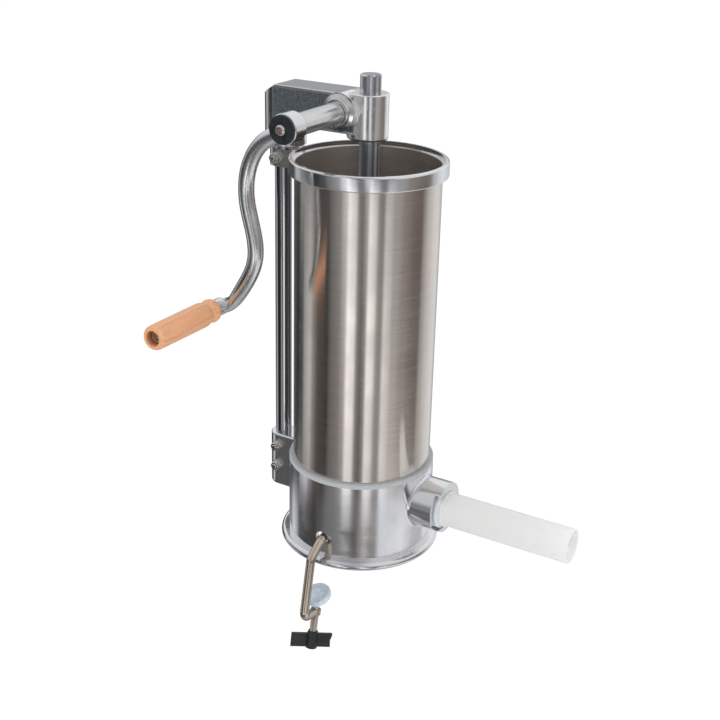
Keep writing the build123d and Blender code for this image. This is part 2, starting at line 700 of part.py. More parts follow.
# ---------------------------------------------------------------- crank
with BuildPart() as crank_arm:
    with BuildSketch(Plane((PINION_X, EYE_BACK_Y, PINION_Z), **minus_y)):
        Circle(EYE_R)
    extrude(amount=EYE_BACK_Y - EYE_FRONT_Y)
    with BuildSketch(Plane((GRIP_X, ARM_BOSS_BACK_Y, GRIP_Z), **minus_y)):
        Circle(ARM_BOSS_R)
    extrude(amount=ARM_BOSS_BACK_Y - ARM_BOSS_FRONT_Y)
    rims = crank_arm.edges().filter_by(GeomType.CIRCLE)
    boss_back = rims.group_by(Axis.X)[0].sort_by(Axis.Y)[-1]
    fillet(boss_back, radius=ARM_BOSS_FILLET)
    fillet(crank_arm.edges().filter_by(GeomType.CIRCLE).group_by(Axis.X)[-1], radius=SOFT_EDGE)
    with BuildLine() as arm_line:
        Spline(
            *[(x, ARM_Y, z) for x, z in ARM_POINTS],
            (GRIP_X, ARM_END_Y, GRIP_Z),
            tangents=[(x, 0, z) for x, z in ARM_TANGENTS],
        )
    path = arm_line.wires()[0]
    for along in (i / ARM_SECTIONS for i in range(ARM_SECTIONS + 1)):
        taper = max(0, along - ARM_TAPER_START) / (1 - ARM_TAPER_START)
        with BuildSketch(Plane(path @ along, x_dir=(0, 1, 0), z_dir=path % along)):
            Circle(ARM_R + (ARM_END_R - ARM_R) * taper)
    loft()
    with BuildSketch(Plane((PINION_X, EYE_BACK_Y, PINION_Z), **minus_y)):
        Circle(JOURNAL_R + FIT_CLEAR)
        Rectangle(2 * JOURNAL_R + SOFT_EDGE, 2 * (DRIVE_FLAT + FIT_CLEAR), mode=Mode.INTERSECT)
    extrude(amount=EYE_BACK_Y - EYE_FRONT_Y, mode=Mode.SUBTRACT)
    with Locations(Plane((GRIP_X, ARM_BOSS_FRONT_Y, GRIP_Z), **minus_y)):
        Hole(SPINDLE_R + FIT_CLEAR, depth=SPINDLE_THREAD_L)
crank_arm.part.label = "crank_arm"
export_step(crank_arm.part, "parts/crank_arm.step")

with BuildPart() as crank_end_disc:
    with BuildSketch(Plane((PINION_X, EYE_FRONT_Y, PINION_Z), **minus_y)):
        Circle(DISC_R)
        Circle(CRANK_SCREW_R + FIT_CLEAR, mode=Mode.SUBTRACT)
    extrude(amount=DISC_T)
    fillet(crank_end_disc.edges().group_by(Axis.Y)[0].sort_by(SortBy.RADIUS)[-1], radius=DISC_FILLET)
crank_end_disc.part.label = "crank_end_disc"
export_step(crank_end_disc.part, "parts/crank_end_disc.step")


def pan_screw(seat_plane, shank_r, shank_l, head_r, head_h):
    """A cross-recessed pan-head screw: its head stands out of the plane, its shank goes in."""
    with BuildPart() as screw:
        with BuildSketch(seat_plane):
            Circle(shank_r)
        extrude(amount=-shank_l)
        with BuildSketch(seat_plane):
            Circle(head_r)
        extrude(amount=head_h)
        rim = screw.edges().filter_by(GeomType.CIRCLE).sort_by(
            lambda e: -(e.center() - seat_plane.origin).dot(seat_plane.z_dir))[0]
        fillet(rim, radius=head_h * HEAD_CROWN)
        with BuildSketch(seat_plane.offset(head_h)):
            for turn in (0, 90):
                with Locations(Rotation(0, 0, turn)):
                    Rectangle(head_r * RECESS_SPAN, head_r * RECESS_SLOT)
        extrude(amount=-head_h * RECESS_DEPTH, taper=RECESS_TAPER, mode=Mode.SUBTRACT)
    return screw


crank_screw = pan_screw(Plane((PINION_X, EYE_FRONT_Y - DISC_T, PINION_Z), **minus_y),
                        CRANK_SCREW_R, CRANK_SCREW_L - SOFT_EDGE, CRANK_SCREW_HEAD_R, CRANK_SCREW_HEAD_H)
crank_screw.part.label = "crank_screw"
export_step(crank_screw.part, "parts/crank_screw.step")


# ---------------------------------------------------------------- wooden grip on its spindle
counterbore_y = GRIP_END_Y + COUNTERBORE_DEPTH

with BuildPart() as wooden_grip:
    with BuildSketch(Plane((GRIP_X, 0, GRIP_Z), x_dir=(1, 0, 0), z_dir=(0, 0, 1))):
        with BuildLine():
            bead = ThreePointArc((GRIP_FACE_R, GRIP_START_Y), *GRIP_BEAD)
            neck = ThreePointArc(bead @ 1, *GRIP_NECK)
            Spline(neck @ 1, GRIP_BODY[0], tangents=(neck % 1, (0, -1)))
            body = Line(*GRIP_BODY)
            TangentArc(body @ 1, (GRIP_END_R, GRIP_END_Y), tangent=(0, -1))
            Polyline(
                (GRIP_END_R, GRIP_END_Y),
                (COUNTERBORE_R, GRIP_END_Y),
                (COUNTERBORE_R, counterbore_y),
                (SPINDLE_R + RUN_CLEAR, counterbore_y),
                (SPINDLE_R + RUN_CLEAR, GRIP_START_Y),
                (GRIP_FACE_R, GRIP_START_Y),
            )
        make_face()
    revolve(axis=Axis((GRIP_X, 0, GRIP_Z), (0, 1, 0)))
wooden_grip.part.label = "wooden_grip"
export_step(wooden_grip.part, "parts/wooden_grip.step")

grip_spindle = pan_screw(Plane((GRIP_X, counterbore_y - RUN_CLEAR, GRIP_Z), **minus_y),
                         SPINDLE_R, ARM_BOSS_FRONT_Y + SPINDLE_THREAD_L - SOFT_EDGE - counterbore_y,
                         SPINDLE_HEAD_R, SPINDLE_HEAD_H)
grip_spindle.part.label = "grip_spindle"
export_step(grip_spindle.part, "parts/grip_spindle.step")


# ---------------------------------------------------------------- rack and piston
piston_top_z = PISTON_BOTTOM_Z + PISTON_T
rack_bottom_z = piston_top_z - SOCKET_DEPTH
rack_tip_x = PITCH_LINE_X - RACK_ADDENDUM
rack_root_x = PITCH_LINE_X + RACK_DEDENDUM
gap_half = (TOOTH_PITCH + BACKLASH) / 4
flank_slope = tan(PRESSURE_ANGLE)

with BuildPart() as rack_bar:
    with BuildSketch(Plane.XY.offset(rack_bottom_z)):
        Circle(RACK_R)
    extrude(amount=RACK_TOP_Z - rack_bottom_z)
    chamfer(rack_bar.edges().group_by(Axis.Z)[-1], length=SOFT_EDGE)
    # Flat along the toothed length, then one gap per tooth pitch.
    flat_bottom_z = PINION_Z - (GAPS_BELOW + 0.5) * TOOTH_PITCH
    flat_top_z = PINION_Z + (GAPS_ABOVE + 0.5) * TOOTH_PITCH
    with BuildSketch(Plane.XZ.offset(-RACK_R)):
        with Locations((-RACK_R, flat_bottom_z)):
            Rectangle(RACK_R + rack_tip_x, flat_top_z - flat_bottom_z, align=(Align.MIN, Align.MIN))
        for gap in range(-GAPS_BELOW, GAPS_ABOVE + 1):
            with Locations((0, PINION_Z + gap * TOOTH_PITCH)):
                Polygon(
                    (rack_root_x, gap_half - RACK_DEDENDUM * flank_slope),
                    (-RACK_R, gap_half + (PITCH_LINE_X + RACK_R) * flank_slope),
                    (-RACK_R, -gap_half - (PITCH_LINE_X + RACK_R) * flank_slope),
                    (rack_root_x, -gap_half + RACK_DEDENDUM * flank_slope),
                    align=None,
                )
    extrude(amount=2 * RACK_R, mode=Mode.SUBTRACT)
    with Locations(Plane((0, 0, rack_bottom_z), x_dir=(1, 0, 0), z_dir=(0, 0, -1))):
        Hole(PISTON_SCREW_R + FIT_CLEAR, depth=PISTON_SCREW_L)
rack_bar.part.label = "rack_bar"
export_step(rack_bar.part, "parts/rack_bar.step")

seal_z = PISTON_BOTTOM_Z + (PISTON_T - SEAL_H) / 2

with BuildPart() as piston_disc:
    with BuildSketch(Plane.XY.offset(PISTON_BOTTOM_Z)):
        Circle(PISTON_R)
    extrude(amount=PISTON_T)
    fillet(piston_disc.edges(), radius=SOFT_EDGE)
    with BuildSketch(Plane.XY.offset(seal_z)):
        Circle(PISTON_R)
        Circle(SEAL_GROOVE_R, mode=Mode.SUBTRACT)
    extrude(amount=SEAL_H, mode=Mode.SUBTRACT)
    with Locations(Plane((0, 0, piston_top_z))):
        Hole(RACK_R + FIT_CLEAR, depth=SOCKET_DEPTH)
    with Locations(Plane((0, 0, PISTON_BOTTOM_Z), x_dir=(1, 0, 0), z_dir=(0, 0, -1))):
        CounterSinkHole(PISTON_SCREW_R + FIT_CLEAR, PISTON_SCREW_HEAD_R + FIT_CLEAR, depth=PISTON_T)
piston_disc.part.label = "piston_disc"
export_step(piston_disc.part, "parts/piston_disc.step")

with BuildPart() as piston_seal:
    with BuildSketch(Plane.XY.offset(seal_z)):
        Circle(cylinder_bore_r - SEAL_CLEAR)
        Circle(SEAL_GROOVE_R, mode=Mode.SUBTRACT)
    extrude(amount=SEAL_H)
    rims = piston_seal.edges().filter_by(GeomType.CIRCLE).group_by(SortBy.RADIUS)[-1]
    chamfer(rims, length=SOFT_EDGE)
piston_seal.part.label = "piston_seal"
export_step(piston_seal.part, "parts/piston_seal.step")

with BuildPart() as piston_screw:
    with BuildSketch(Plane.XZ):
        with BuildLine():
            sink = PISTON_SCREW_HEAD_R - PISTON_SCREW_R
            Polyline(
                (0, PISTON_BOTTOM_Z),
                (PISTON_SCREW_HEAD_R, PISTON_BOTTOM_Z),
                (PISTON_SCREW_R, PISTON_BOTTOM_Z + sink),
                (PISTON_SCREW_R, rack_bottom_z + PISTON_SCREW_L - SOFT_EDGE),
                (0, rack_bottom_z + PISTON_SCREW_L - SOFT_EDGE),
                close=True,
            )
        make_face()
    revolve(axis=Axis.Z)
    with BuildSketch(Plane.XY.offset(PISTON_BOTTOM_Z)):
        Rectangle(2 * PISTON_SCREW_HEAD_R, SLOT_W)
    extrude(amount=SLOT_W, mode=Mode.SUBTRACT)
piston_screw.part.label = "piston_screw"
export_step(piston_screw.part, "parts/piston_screw.step")


# ---------------------------------------------------------------- nozzle
flange_x = SPIGOT_FACE_X + CHANNEL_CLEAR

with BuildPart() as stuffing_nozzle:
    with BuildSketch(Plane.YZ.offset(flange_x)):
        with Locations((0, OUTLET_Z)):
            Circle(FLANGE_R)
    extrude(amount=FLANGE_T)
    fillet(stuffing_nozzle.edges().group_by(Axis.X)[-1], radius=SOFT_EDGE)
    with BuildSketch(Plane.YZ.offset(flange_x)):
        with Locations((0, OUTLET_Z)):
            Circle(COLLAR_R)
    extrude(amount=COLLAR_END_X - flange_x)
    with BuildSketch(Plane.YZ.offset(flange_x)):
        with Locations((0, OUTLET_Z)):
            Circle(NOZZLE_R)
    extrude(amount=NOZZLE_END_X - flange_x)
    with BuildSketch(Plane.YZ.offset(flange_x)):
        with Locations((0, OUTLET_Z)):
            Circle(NOZZLE_R - NOZZLE_WALL)
    extrude(amount=NOZZLE_END_X - flange_x, mode=Mode.SUBTRACT)
    fillet(stuffing_nozzle.edges().group_by(Axis.X)[-1], radius=NOZZLE_WALL / 3)
stuffing_nozzle.part.label = "stuffing_nozzle"
export_step(stuffing_nozzle.part, "parts/stuffing_nozzle.step")


# ---------------------------------------------------------------- table clamp
clamp_pivot = (0, -WALL_R + WALL_T / 2, CLAMP_PIVOT_Z)
lean = radians(CLAMP_LEAN)
clamp_up = (0, sin(lean), cos(lean))
clamp_side = Plane(clamp_pivot, x_dir=(0, cos(lean), -sin(lean)), z_dir=(1, 0, 0))


def clamp_cross(height):
    """A plane square to the clamp's screw, centred on it, at a height above the pivot."""
    centre = clamp_side.from_local_coords((CLAMP_SCREW_U, height, 0))
    return Plane(centre, x_dir=(1, 0, 0), z_dir=clamp_up)


with BuildPart() as clamp_rod:
    with BuildLine(clamp_side) as rod_line:
        FilletPolyline(
            CLAMP_TIP_UW,
            CLAMP_KNEE_UW,
            (CLAMP_LEG_U, CLAMP_SHOULDER_W),
            (CLAMP_LEG_U, CLAMP_ARM_W),
            (CLAMP_SCREW_U - CLAMP_SCREW_R, CLAMP_ARM_W),
            radius=CLAMP_BEND_R,
        )
    rod_path = rod_line.wires()[0]
    with BuildSketch(rod_path ^ 0):
        Circle(CLAMP_ROD_R)
    sweep(path=rod_path)
    with BuildSketch(clamp_cross(CLAMP_ARM_W - CLAMP_NUT_H / 2)):
        Circle(CLAMP_NUT_R + FIT_CLEAR)
    extrude(amount=CLAMP_NUT_H, mode=Mode.SUBTRACT)
clamp_rod.part.label = "clamp_rod"
export_step(clamp_rod.part, "parts/clamp_rod.step")

with BuildPart() as clamp_nut:
    with BuildSketch(clamp_cross(CLAMP_ARM_W - CLAMP_NUT_H / 2)):
        Circle(CLAMP_NUT_R)
        Circle(CLAMP_SCREW_R + RUN_CLEAR, mode=Mode.SUBTRACT)
    extrude(amount=CLAMP_NUT_H)
clamp_nut.part.label = "clamp_nut"
export_step(clamp_nut.part, "parts/clamp_nut.step")

pad_plane = Plane(clamp_cross(PAD_CENTRE_W).origin, x_dir=(1, 0, 0), z_dir=clamp_up)
pad_plane = pad_plane.rotated((0, 0, PAD_TURN)).rotated((PAD_TILT, 0, 0))

with BuildPart() as clamp_pad:
    with BuildSketch(pad_plane.offset(-PAD_T / 2)):
        Circle(PAD_R)
    extrude(amount=PAD_T)
    fillet(clamp_pad.edges().filter_by(GeomType.CIRCLE), radius=PAD_EDGE)
    # Low boss in the middle of the pressing face, with a sloping side.
    with BuildSketch(pad_plane.offset(PAD_T / 2)):
        Circle(PAD_FACE_R)
    with BuildSketch(pad_plane.offset(PAD_T / 2 + PAD_DOME)):
        Circle(PAD_FACE_R / 2)
    loft()
    with BuildSketch(clamp_cross(PAD_HUB_BOTTOM_W)):
        Circle(PAD_HUB_R)
    extrude(amount=PAD_CENTRE_W - PAD_HUB_BOTTOM_W)
    with Locations(clamp_cross(BALL_W)):
        Sphere(BALL_R + RUN_CLEAR, mode=Mode.SUBTRACT)
    with BuildSketch(clamp_cross(PAD_HUB_BOTTOM_W)):
        Circle(BALL_NECK_R + CHANNEL_CLEAR)
    extrude(amount=BALL_W - PAD_HUB_BOTTOM_W, mode=Mode.SUBTRACT)
clamp_pad.part.label = "clamp_pad"
export_step(clamp_pad.part, "parts/clamp_pad.step")

screw_shoulder_w = CLAMP_ARM_W + CLAMP_NUT_H / 2
wing_bottom_w = WING_TOP_W - WING_H
wing_cross = clamp_cross(wing_bottom_w).rotated((0, 0, WING_TURN))
wing_plane = Plane(wing_cross.origin, x_dir=wing_cross.x_dir, z_dir=-wing_cross.y_dir)

with BuildPart() as clamp_screw:
    with BuildSketch(clamp_cross(WING_TOP_W + WING_NECK_H - WING_SOCKET_DEPTH)):
        Circle(CLAMP_SCREW_R)
    extrude(amount=screw_shoulder_w - WING_TOP_W - WING_NECK_H + WING_SOCKET_DEPTH)
    with BuildSketch(clamp_cross(screw_shoulder_w)):
        Circle(BALL_NECK_R)
    extrude(amount=BALL_W - screw_shoulder_w)
    with Locations(clamp_cross(BALL_W)):
        Sphere(BALL_R)
clamp_screw.part.label = "clamp_screw"
export_step(clamp_screw.part, "parts/clamp_screw.step")

with BuildPart() as clamp_wing:
    with BuildSketch(wing_plane):
        with BuildLine():
            Polyline(
                (-WING_SPAN / 2, 0),
                (WING_SPAN / 2 - WING_NOTCH, 0),
                (WING_SPAN / 2 - WING_NOTCH, WING_H / 2),
                (WING_SPAN / 2, WING_H - SOFT_EDGE),
                (WING_SPAN / 2 - SOFT_EDGE, WING_H),
                (-WING_SPAN / 2 + SOFT_EDGE, WING_H),
                close=True,
            )
        make_face()
    extrude(amount=WING_T / 2, both=True)
    with BuildSketch(clamp_cross(wing_bottom_w - WING_HUB_DROP)):
        Circle(WING_HUB_R)
    extrude(amount=WING_H + WING_HUB_DROP)
    with BuildSketch(clamp_cross(WING_TOP_W)):
        Circle(WING_HUB_R)
    with BuildSketch(clamp_cross(WING_TOP_W + WING_NECK_H)):
        Circle(WING_NECK_R)
    loft()
    fillet(clamp_wing.edges().group_by(Axis(clamp_pivot, clamp_up))[0], radius=SOFT_EDGE / 2)
    with BuildSketch(clamp_cross(WING_TOP_W + WING_NECK_H)):
        Circle(CLAMP_SCREW_R + FIT_CLEAR)
    extrude(amount=-WING_SOCKET_DEPTH, mode=Mode.SUBTRACT)
clamp_wing.part.label = "clamp_wing"
export_step(clamp_wing.part, "parts/clamp_wing.step")
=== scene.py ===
"""Hand-cranked sausage stuffer: finishes, fine pieces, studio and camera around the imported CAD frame.

Everything is in metres in the row frame: origin at the centre of the foot's underside, +Z up,
+X along the nozzle, the crank on the -Y side. Material coordinates are Object coordinates,
which are the row frame's at rest and travel with each body.
"""

import json
import math

import bmesh
import bpy
from mathutils import Matrix, Vector


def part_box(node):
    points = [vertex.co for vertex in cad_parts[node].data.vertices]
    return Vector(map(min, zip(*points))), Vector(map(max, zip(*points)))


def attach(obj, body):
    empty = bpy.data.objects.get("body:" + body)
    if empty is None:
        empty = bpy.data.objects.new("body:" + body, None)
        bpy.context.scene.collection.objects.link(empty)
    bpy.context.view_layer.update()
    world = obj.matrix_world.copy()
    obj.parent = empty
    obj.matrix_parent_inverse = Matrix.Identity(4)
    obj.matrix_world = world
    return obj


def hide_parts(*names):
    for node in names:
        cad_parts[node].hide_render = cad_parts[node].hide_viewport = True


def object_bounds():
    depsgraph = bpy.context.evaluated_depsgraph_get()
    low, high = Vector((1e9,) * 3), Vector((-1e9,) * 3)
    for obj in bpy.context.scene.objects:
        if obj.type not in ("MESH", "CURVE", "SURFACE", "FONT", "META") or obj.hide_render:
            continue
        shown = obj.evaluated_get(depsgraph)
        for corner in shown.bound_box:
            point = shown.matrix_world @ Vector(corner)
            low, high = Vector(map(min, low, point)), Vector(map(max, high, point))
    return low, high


MM = 0.001
VIEW_AZIMUTH = math.radians(29.84)

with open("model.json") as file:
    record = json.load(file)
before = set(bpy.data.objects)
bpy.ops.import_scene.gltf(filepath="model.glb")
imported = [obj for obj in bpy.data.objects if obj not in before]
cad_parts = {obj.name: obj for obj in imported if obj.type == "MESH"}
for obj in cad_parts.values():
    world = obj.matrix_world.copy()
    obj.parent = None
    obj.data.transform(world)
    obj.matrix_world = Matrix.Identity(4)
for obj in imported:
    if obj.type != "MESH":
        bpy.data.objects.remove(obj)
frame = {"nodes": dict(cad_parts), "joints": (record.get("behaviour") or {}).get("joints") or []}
NODES = frame["nodes"]
rest_low, rest_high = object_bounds()

# Axes that the finishes turn about, taken from the CAD boxes.
pinion_low, pinion_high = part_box("pinion_gear")
PINION_AXIS = (pinion_low + pinion_high) / 2
grip_low, grip_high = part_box("wooden_grip")
GRIP_AXIS = (grip_low + grip_high) / 2
cylinder_low, cylinder_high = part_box("cylinder")
CYLINDER_SKIN_R = cylinder_high.x - 0.3 * MM

# Where one part changes finish, measured on the CAD.
BASE_HOLLOW_R = 62.2 * MM
BASE_HOLLOW_TOP_Z = 33.3 * MM
LUG_FLAT_X = -68.0 * MM
HEAD_FLAT_X = (-87.5 * MM, -6.5 * MM)
HEAD_FLAT_Z = (387.9 * MM, 417.4 * MM)
HEAD_SATIN_X = -18.0 * MM
ARM_EYE_R = 13.0 * MM
GRIP_BORE_R = 7.2 * MM
NOZZLE_FLANGE_X = 93.0 * MM


# ---------------------------------------------------------------- node tree helpers
class Tree:
    """A node tree under construction. Inputs that are sockets get linked, others get set."""

    def __init__(self, tree):
        self.tree = tree
        tree.nodes.clear()

    def node(self, kind, settings=None, **inputs):
        node = self.tree.nodes.new(kind)
        for key, value in (settings or {}).items():
            setattr(node, key, value)
        for key, value in inputs.items():
            self.feed(node.inputs[key.replace("_", " ")], value)
        return node

    def feed(self, socket, value):
        if isinstance(value, bpy.types.NodeSocket):
            self.tree.links.new(value, socket)
        else:
            socket.default_value = value

    def math(self, operation, a, b=0.0, c=0.0):
        node = self.tree.nodes.new("ShaderNodeMath")
        node.operation = operation
        for socket, value in zip(node.inputs, (a, b, c)):
            self.feed(socket, value)
        return node.outputs[0]

    def vector_math(self, operation, a, b=(0.0, 0.0, 0.0)):
        node = self.tree.nodes.new("ShaderNodeVectorMath")
        node.operation = operation
        self.feed(node.inputs[0], a)
        self.feed(node.inputs[1], b)
        return node

    def split(self, vector):
        return self.node("ShaderNodeSeparateXYZ", Vector=vector).outputs

    def join(self, x, y, z):
        return self.node("ShaderNodeCombineXYZ", X=x, Y=y, Z=z).outputs[0]

    def stretch(self, vector, scale):
        return self.vector_math("MULTIPLY", vector, scale).outputs[0]

    def noise(self, vector, scale=1.0, detail=2.0, roughness=0.5):
        return self.node(
            "ShaderNodeTexNoise", Vector=vector, Scale=scale, Detail=detail, Roughness=roughness
        ).outputs["Fac"]

    def fit(self, value, low, high, to_low=0.0, to_high=1.0, smooth=False):
        """value mapped from low..high to to_low..to_high, clamped."""
        node = self.tree.nodes.new("ShaderNodeMapRange")
        if smooth:
            node.interpolation_type = "SMOOTHSTEP"
        keys = ("Value", "From Min", "From Max", "To Min", "To Max")
        for key, v in zip(keys, (value, low, high, to_low, to_high)):
            self.feed(node.inputs[key], v)
        return node.outputs[0]

    def rise(self, value, at, half_width):
        """0 before at and 1 past it, the other way round where half_width is negative."""
        return self.fit(value, at - half_width, at + half_width)

    def ramp(self, factor, stops, interpolation="LINEAR"):
        """Colours along 0..1 as (position, colour) pairs."""
        node = self.tree.nodes.new("ShaderNodeValToRGB")
        node.color_ramp.interpolation = interpolation
        elements = node.color_ramp.elements
        while len(elements) < len(stops):
            elements.new(0.5)
        for element, (position, colour) in zip(elements, stops):
            element.position = position
            element.color = (*colour, 1.0)
        self.feed(node.inputs[0], factor)
        return node.outputs[0]

    def blend(self, factor, a, b, mode="MIX"):
        """Colour a where factor is 0 and b where it is 1."""
        node = self.tree.nodes.new("ShaderNodeMix")
        node.data_type = "RGBA"
        node.blend_type = mode
        self.feed(node.inputs[0], factor)
        self.feed(node.inputs[6], (*a, 1.0) if isinstance(a, tuple) else a)
        self.feed(node.inputs[7], (*b, 1.0) if isinstance(b, tuple) else b)
        return node.outputs[2]

    def lerp(self, factor, a, b):
        """Value a where factor is 0 and b where it is 1."""
        node = self.tree.nodes.new("ShaderNodeMix")
        for index, value in ((0, factor), (2, a), (3, b)):
            self.feed(node.inputs[index], value)
        return node.outputs[0]


class Finish(Tree):
    """A material's node tree, with the measures that the procedural finishes share."""

    def __init__(self, name):
        self.material = bpy.data.materials.new(name)
        self.material.use_nodes = True
        super().__init__(self.material.node_tree)
        texture = self.node("ShaderNodeTexCoord")
        self.at = texture.outputs["Object"]
        self.normal = texture.outputs["Normal"]

    def around(self, axis, centre):
        """(radius, angle, distance along) about an axis parallel to "X", "Y" or "Z"."""
        x, y, z = self.split(self.vector_math("SUBTRACT", self.at, tuple(centre)).outputs[0])
        u, v, w = {"X": (y, z, x), "Y": (z, x, y), "Z": (x, y, z)}[axis]
        squares = self.math("ADD", self.math("MULTIPLY", u, u), self.math("MULTIPLY", v, v))
        radius = self.math("SQRT", squares)
        return radius, self.math("ARCTAN2", v, u), w

    def turned(self, axis, centre, pitch, length):
        """Noise drawn out round an axis: lines about pitch wide and length radians long."""
        radius, angle, along = self.around(axis, centre)
        fine = self.join(
            self.math("MULTIPLY", radius, 1 / pitch),
            self.math("MULTIPLY", along, 1 / pitch),
            self.math("MULTIPLY", angle, 1 / length),
        )
        return self.noise(fine, 1.0, 3.0, 0.65)

    def drawn(self, axis, pitch, length):
        """Noise drawn out along an axis, in metres."""
        scale = {"X": (1 / length, 1 / pitch, 1 / pitch), "Y": (1 / pitch, 1 / length, 1 / pitch),
                 "Z": (1 / pitch, 1 / pitch, 1 / length)}[axis]
        return self.noise(self.stretch(self.at, scale), 1.0, 3.0, 0.65)

    def smudges(self, size):
        """Broad soft patches left by handling, 0 to 1."""
        return self.fit(self.noise(self.at, 1 / size, 3.0, 0.55), 0.38, 0.66, smooth=True)

    def scratches(self, size, turn, amount=0.04):
        """Hairline scratches crossing the surface one way, 1 on a scratch."""
        turned = self.node("ShaderNodeVectorRotate", {"rotation_type": "EULER_XYZ"}, Vector=self.at)
        self.feed(turned.inputs["Rotation"], turn)
        drawn_out = self.stretch(turned.outputs[0], (0.06 / size, 1.0 / size, 1.0 / size))
        long_noise = self.noise(drawn_out, 1.0, 2.0, 0.7)
        line = self.math("ABSOLUTE", self.math("SUBTRACT", long_noise, 0.5))
        breaks = self.fit(self.noise(self.at, 0.35 / size, 1.0), 0.52, 0.6)
        return self.math("MULTIPLY", self.fit(line, 0.0, amount * 0.25, 1.0, 0.0), breaks)

    def cast_skin(self, size):
        """The orange-peel height of a blasted casting."""
        fine = self.noise(self.at, 1 / size, 4.0, 0.6)
        pits = self.node("ShaderNodeTexVoronoi", Vector=self.at, Scale=0.7 / size).outputs["Distance"]
        return self.math("ADD", fine, self.math("MULTIPLY", pits, 0.6))

    def bump(self, height, distance, strength=1.0, onto=None):
        node = self.node("ShaderNodeBump", Height=height, Distance=distance, Strength=strength)
        if onto is not None:
            self.feed(node.inputs["Normal"], onto)
        return node.outputs[0]

    def rounded_edges(self, radius, samples=4):
        return self.node("ShaderNodeBevel", {"samples": samples}, Radius=radius).outputs[0]

    def painted_crevice_shade(self, reach):
        """Occlusion for painted shade: 1 in the open, falling towards 0 in grooves and corners closer
        than reach.
        """
        return self.node("ShaderNodeAmbientOcclusion", {"samples": 8}, Distance=reach).outputs["AO"]

    def reflected_bearing(self):
        """Bearing of what the surface mirrors, from the camera's side, as 0..1 for -180..180 degrees."""
        mirrored = self.node("ShaderNodeTexCoord").outputs["Reflection"]
        spin = {"rotation_type": "Z_AXIS"}
        turned = self.node("ShaderNodeVectorRotate", spin, Vector=mirrored, Angle=-VIEW_AZIMUTH)
        x, y, _ = self.split(turned.outputs[0])
        return self.fit(self.math("ARCTAN2", x, self.math("MULTIPLY", y, -1.0)), -math.pi, math.pi)

    def facing(self):
        """0 where the surface faces the viewer, 1 where it turns edge on."""
        return self.node("ShaderNodeLayerWeight", Blend=0.5).outputs["Facing"]

    def surface(self, **inputs):
        shader = self.node("ShaderNodeBsdfPrincipled", **inputs)
        self.node("ShaderNodeOutputMaterial", Surface=shader.outputs[0])
        return self.material


def metal(name, colour, roughness, lines, line_bump=2e-6, line_tint=0.05, wear=0.03, edge=0.3 * MM,
          painted_dark_rim=0.0, painted_reflection_levels=None, metallic=1.0):
    """A metal with directional lines, soft smudges and hairline scratches.

    lines makes the grain from the finish.
    outline sets a painted dark rim: the colour goes near black and the metallic goes where the metal
    turns edge on.
    stripes holds painted reflections: grey levels multiplied into the colour by the bearing that the
    surface mirrors.
    """
    f = Finish(name)
    grain = lines(f)
    smudge = f.smudges(22 * MM)
    scratch = f.scratches(5 * MM, (0.5, 0.9, 0.3))
    rough = f.fit(grain, 0.3, 0.7, roughness * 0.85, roughness * 1.15)
    rough = f.math("ADD", rough, f.math("MULTIPLY", smudge, wear))
    rough = f.math("ADD", rough, f.math("MULTIPLY", scratch, 0.08))
    tint = f.fit(grain, 0.3, 0.7, 1 - line_tint, 1.0)
    tint = f.math("SUBTRACT", tint, f.math("MULTIPLY", smudge, 0.03))
    base = f.blend(1.0, colour, f.join(tint, tint, tint), "MULTIPLY")
    # Painted reflection stripes: grey levels by reflected bearing, multiplied into the colour.
    if painted_reflection_levels:
        painted_reflection_ramp = f.ramp(f.reflected_bearing(), [(at, (v, v, v * 1.04)) for at, v in painted_reflection_levels])
        base = f.blend(1.0, base, painted_reflection_ramp, "MULTIPLY")
    # Painted dark reflection: near-black colour, and no metallic, where the surface turns edge on to the
    # viewer.
    painted_dark_rim_mask = f.math("MULTIPLY", f.fit(f.facing(), 0.42, 0.78, smooth=True), painted_dark_rim)
    base = f.blend(painted_dark_rim_mask, base, (0.03, 0.03, 0.03))
    normal = f.bump(grain, line_bump, onto=f.rounded_edges(edge))
    normal = f.bump(scratch, -2e-6, 0.6, onto=normal)
    metallic_outside_painted_rim = f.math("MULTIPLY", f.math("SUBTRACT", 1.0, painted_dark_rim_mask), metallic)
    return f.surface(Base_Color=base, Metallic=metallic_outside_painted_rim, Roughness=rough, Normal=normal,
                     Specular_IOR_Level=0.2)


# ---------------------------------------------------------------- finishes
def brushed_stainless():
    """Sheet brushed round the cylinder: reflections stay sharp round it and smear up and down; the bore
    has painted shade.
    """
    f = Finish("brushed_stainless")
    radius, _, _ = f.around("Z", (0, 0, 0))
    inside = f.math("LESS_THAN", radius, CYLINDER_SKIN_R)
    fine = f.turned("Z", (0, 0, 0), 0.35 * MM, 0.5)
    broad = f.turned("Z", (0, 0, 0), 2.2 * MM, 1.2)
    grain = f.math("ADD", f.math("MULTIPLY", fine, 0.65), f.math("MULTIPLY", broad, 0.35))
    smudge = f.smudges(40 * MM)
    tint = f.fit(grain, 0.3, 0.7, 0.88, 1.05)
    tint = f.math("SUBTRACT", tint, f.math("MULTIPLY", smudge, 0.03))
    # Painted shade in the bore: the inside gets a darker colour, and less metallic below.
    skin = f.blend(inside, (0.78, 0.725, 0.68), (0.66, 0.61, 0.555))
    base = f.blend(1.0, skin, f.join(tint, tint, tint), "MULTIPLY")
    rough = f.math("ADD", f.fit(grain, 0.3, 0.7, 0.13, 0.19), f.math("MULTIPLY", smudge, 0.03))
    rough = f.math("ADD", rough, f.math("MULTIPLY", inside, 0.06))
    normal = f.bump(grain, 8e-6)
    tangent = f.node("ShaderNodeTangent", {"direction_type": "RADIAL", "axis": "Z"}).outputs[0]
    return f.surface(Base_Color=base, Metallic=f.lerp(inside, 1.0, 0.88), Roughness=rough, Normal=normal,
                     Anisotropic=0.95, Anisotropic_Rotation=0.25, Tangent=tangent)


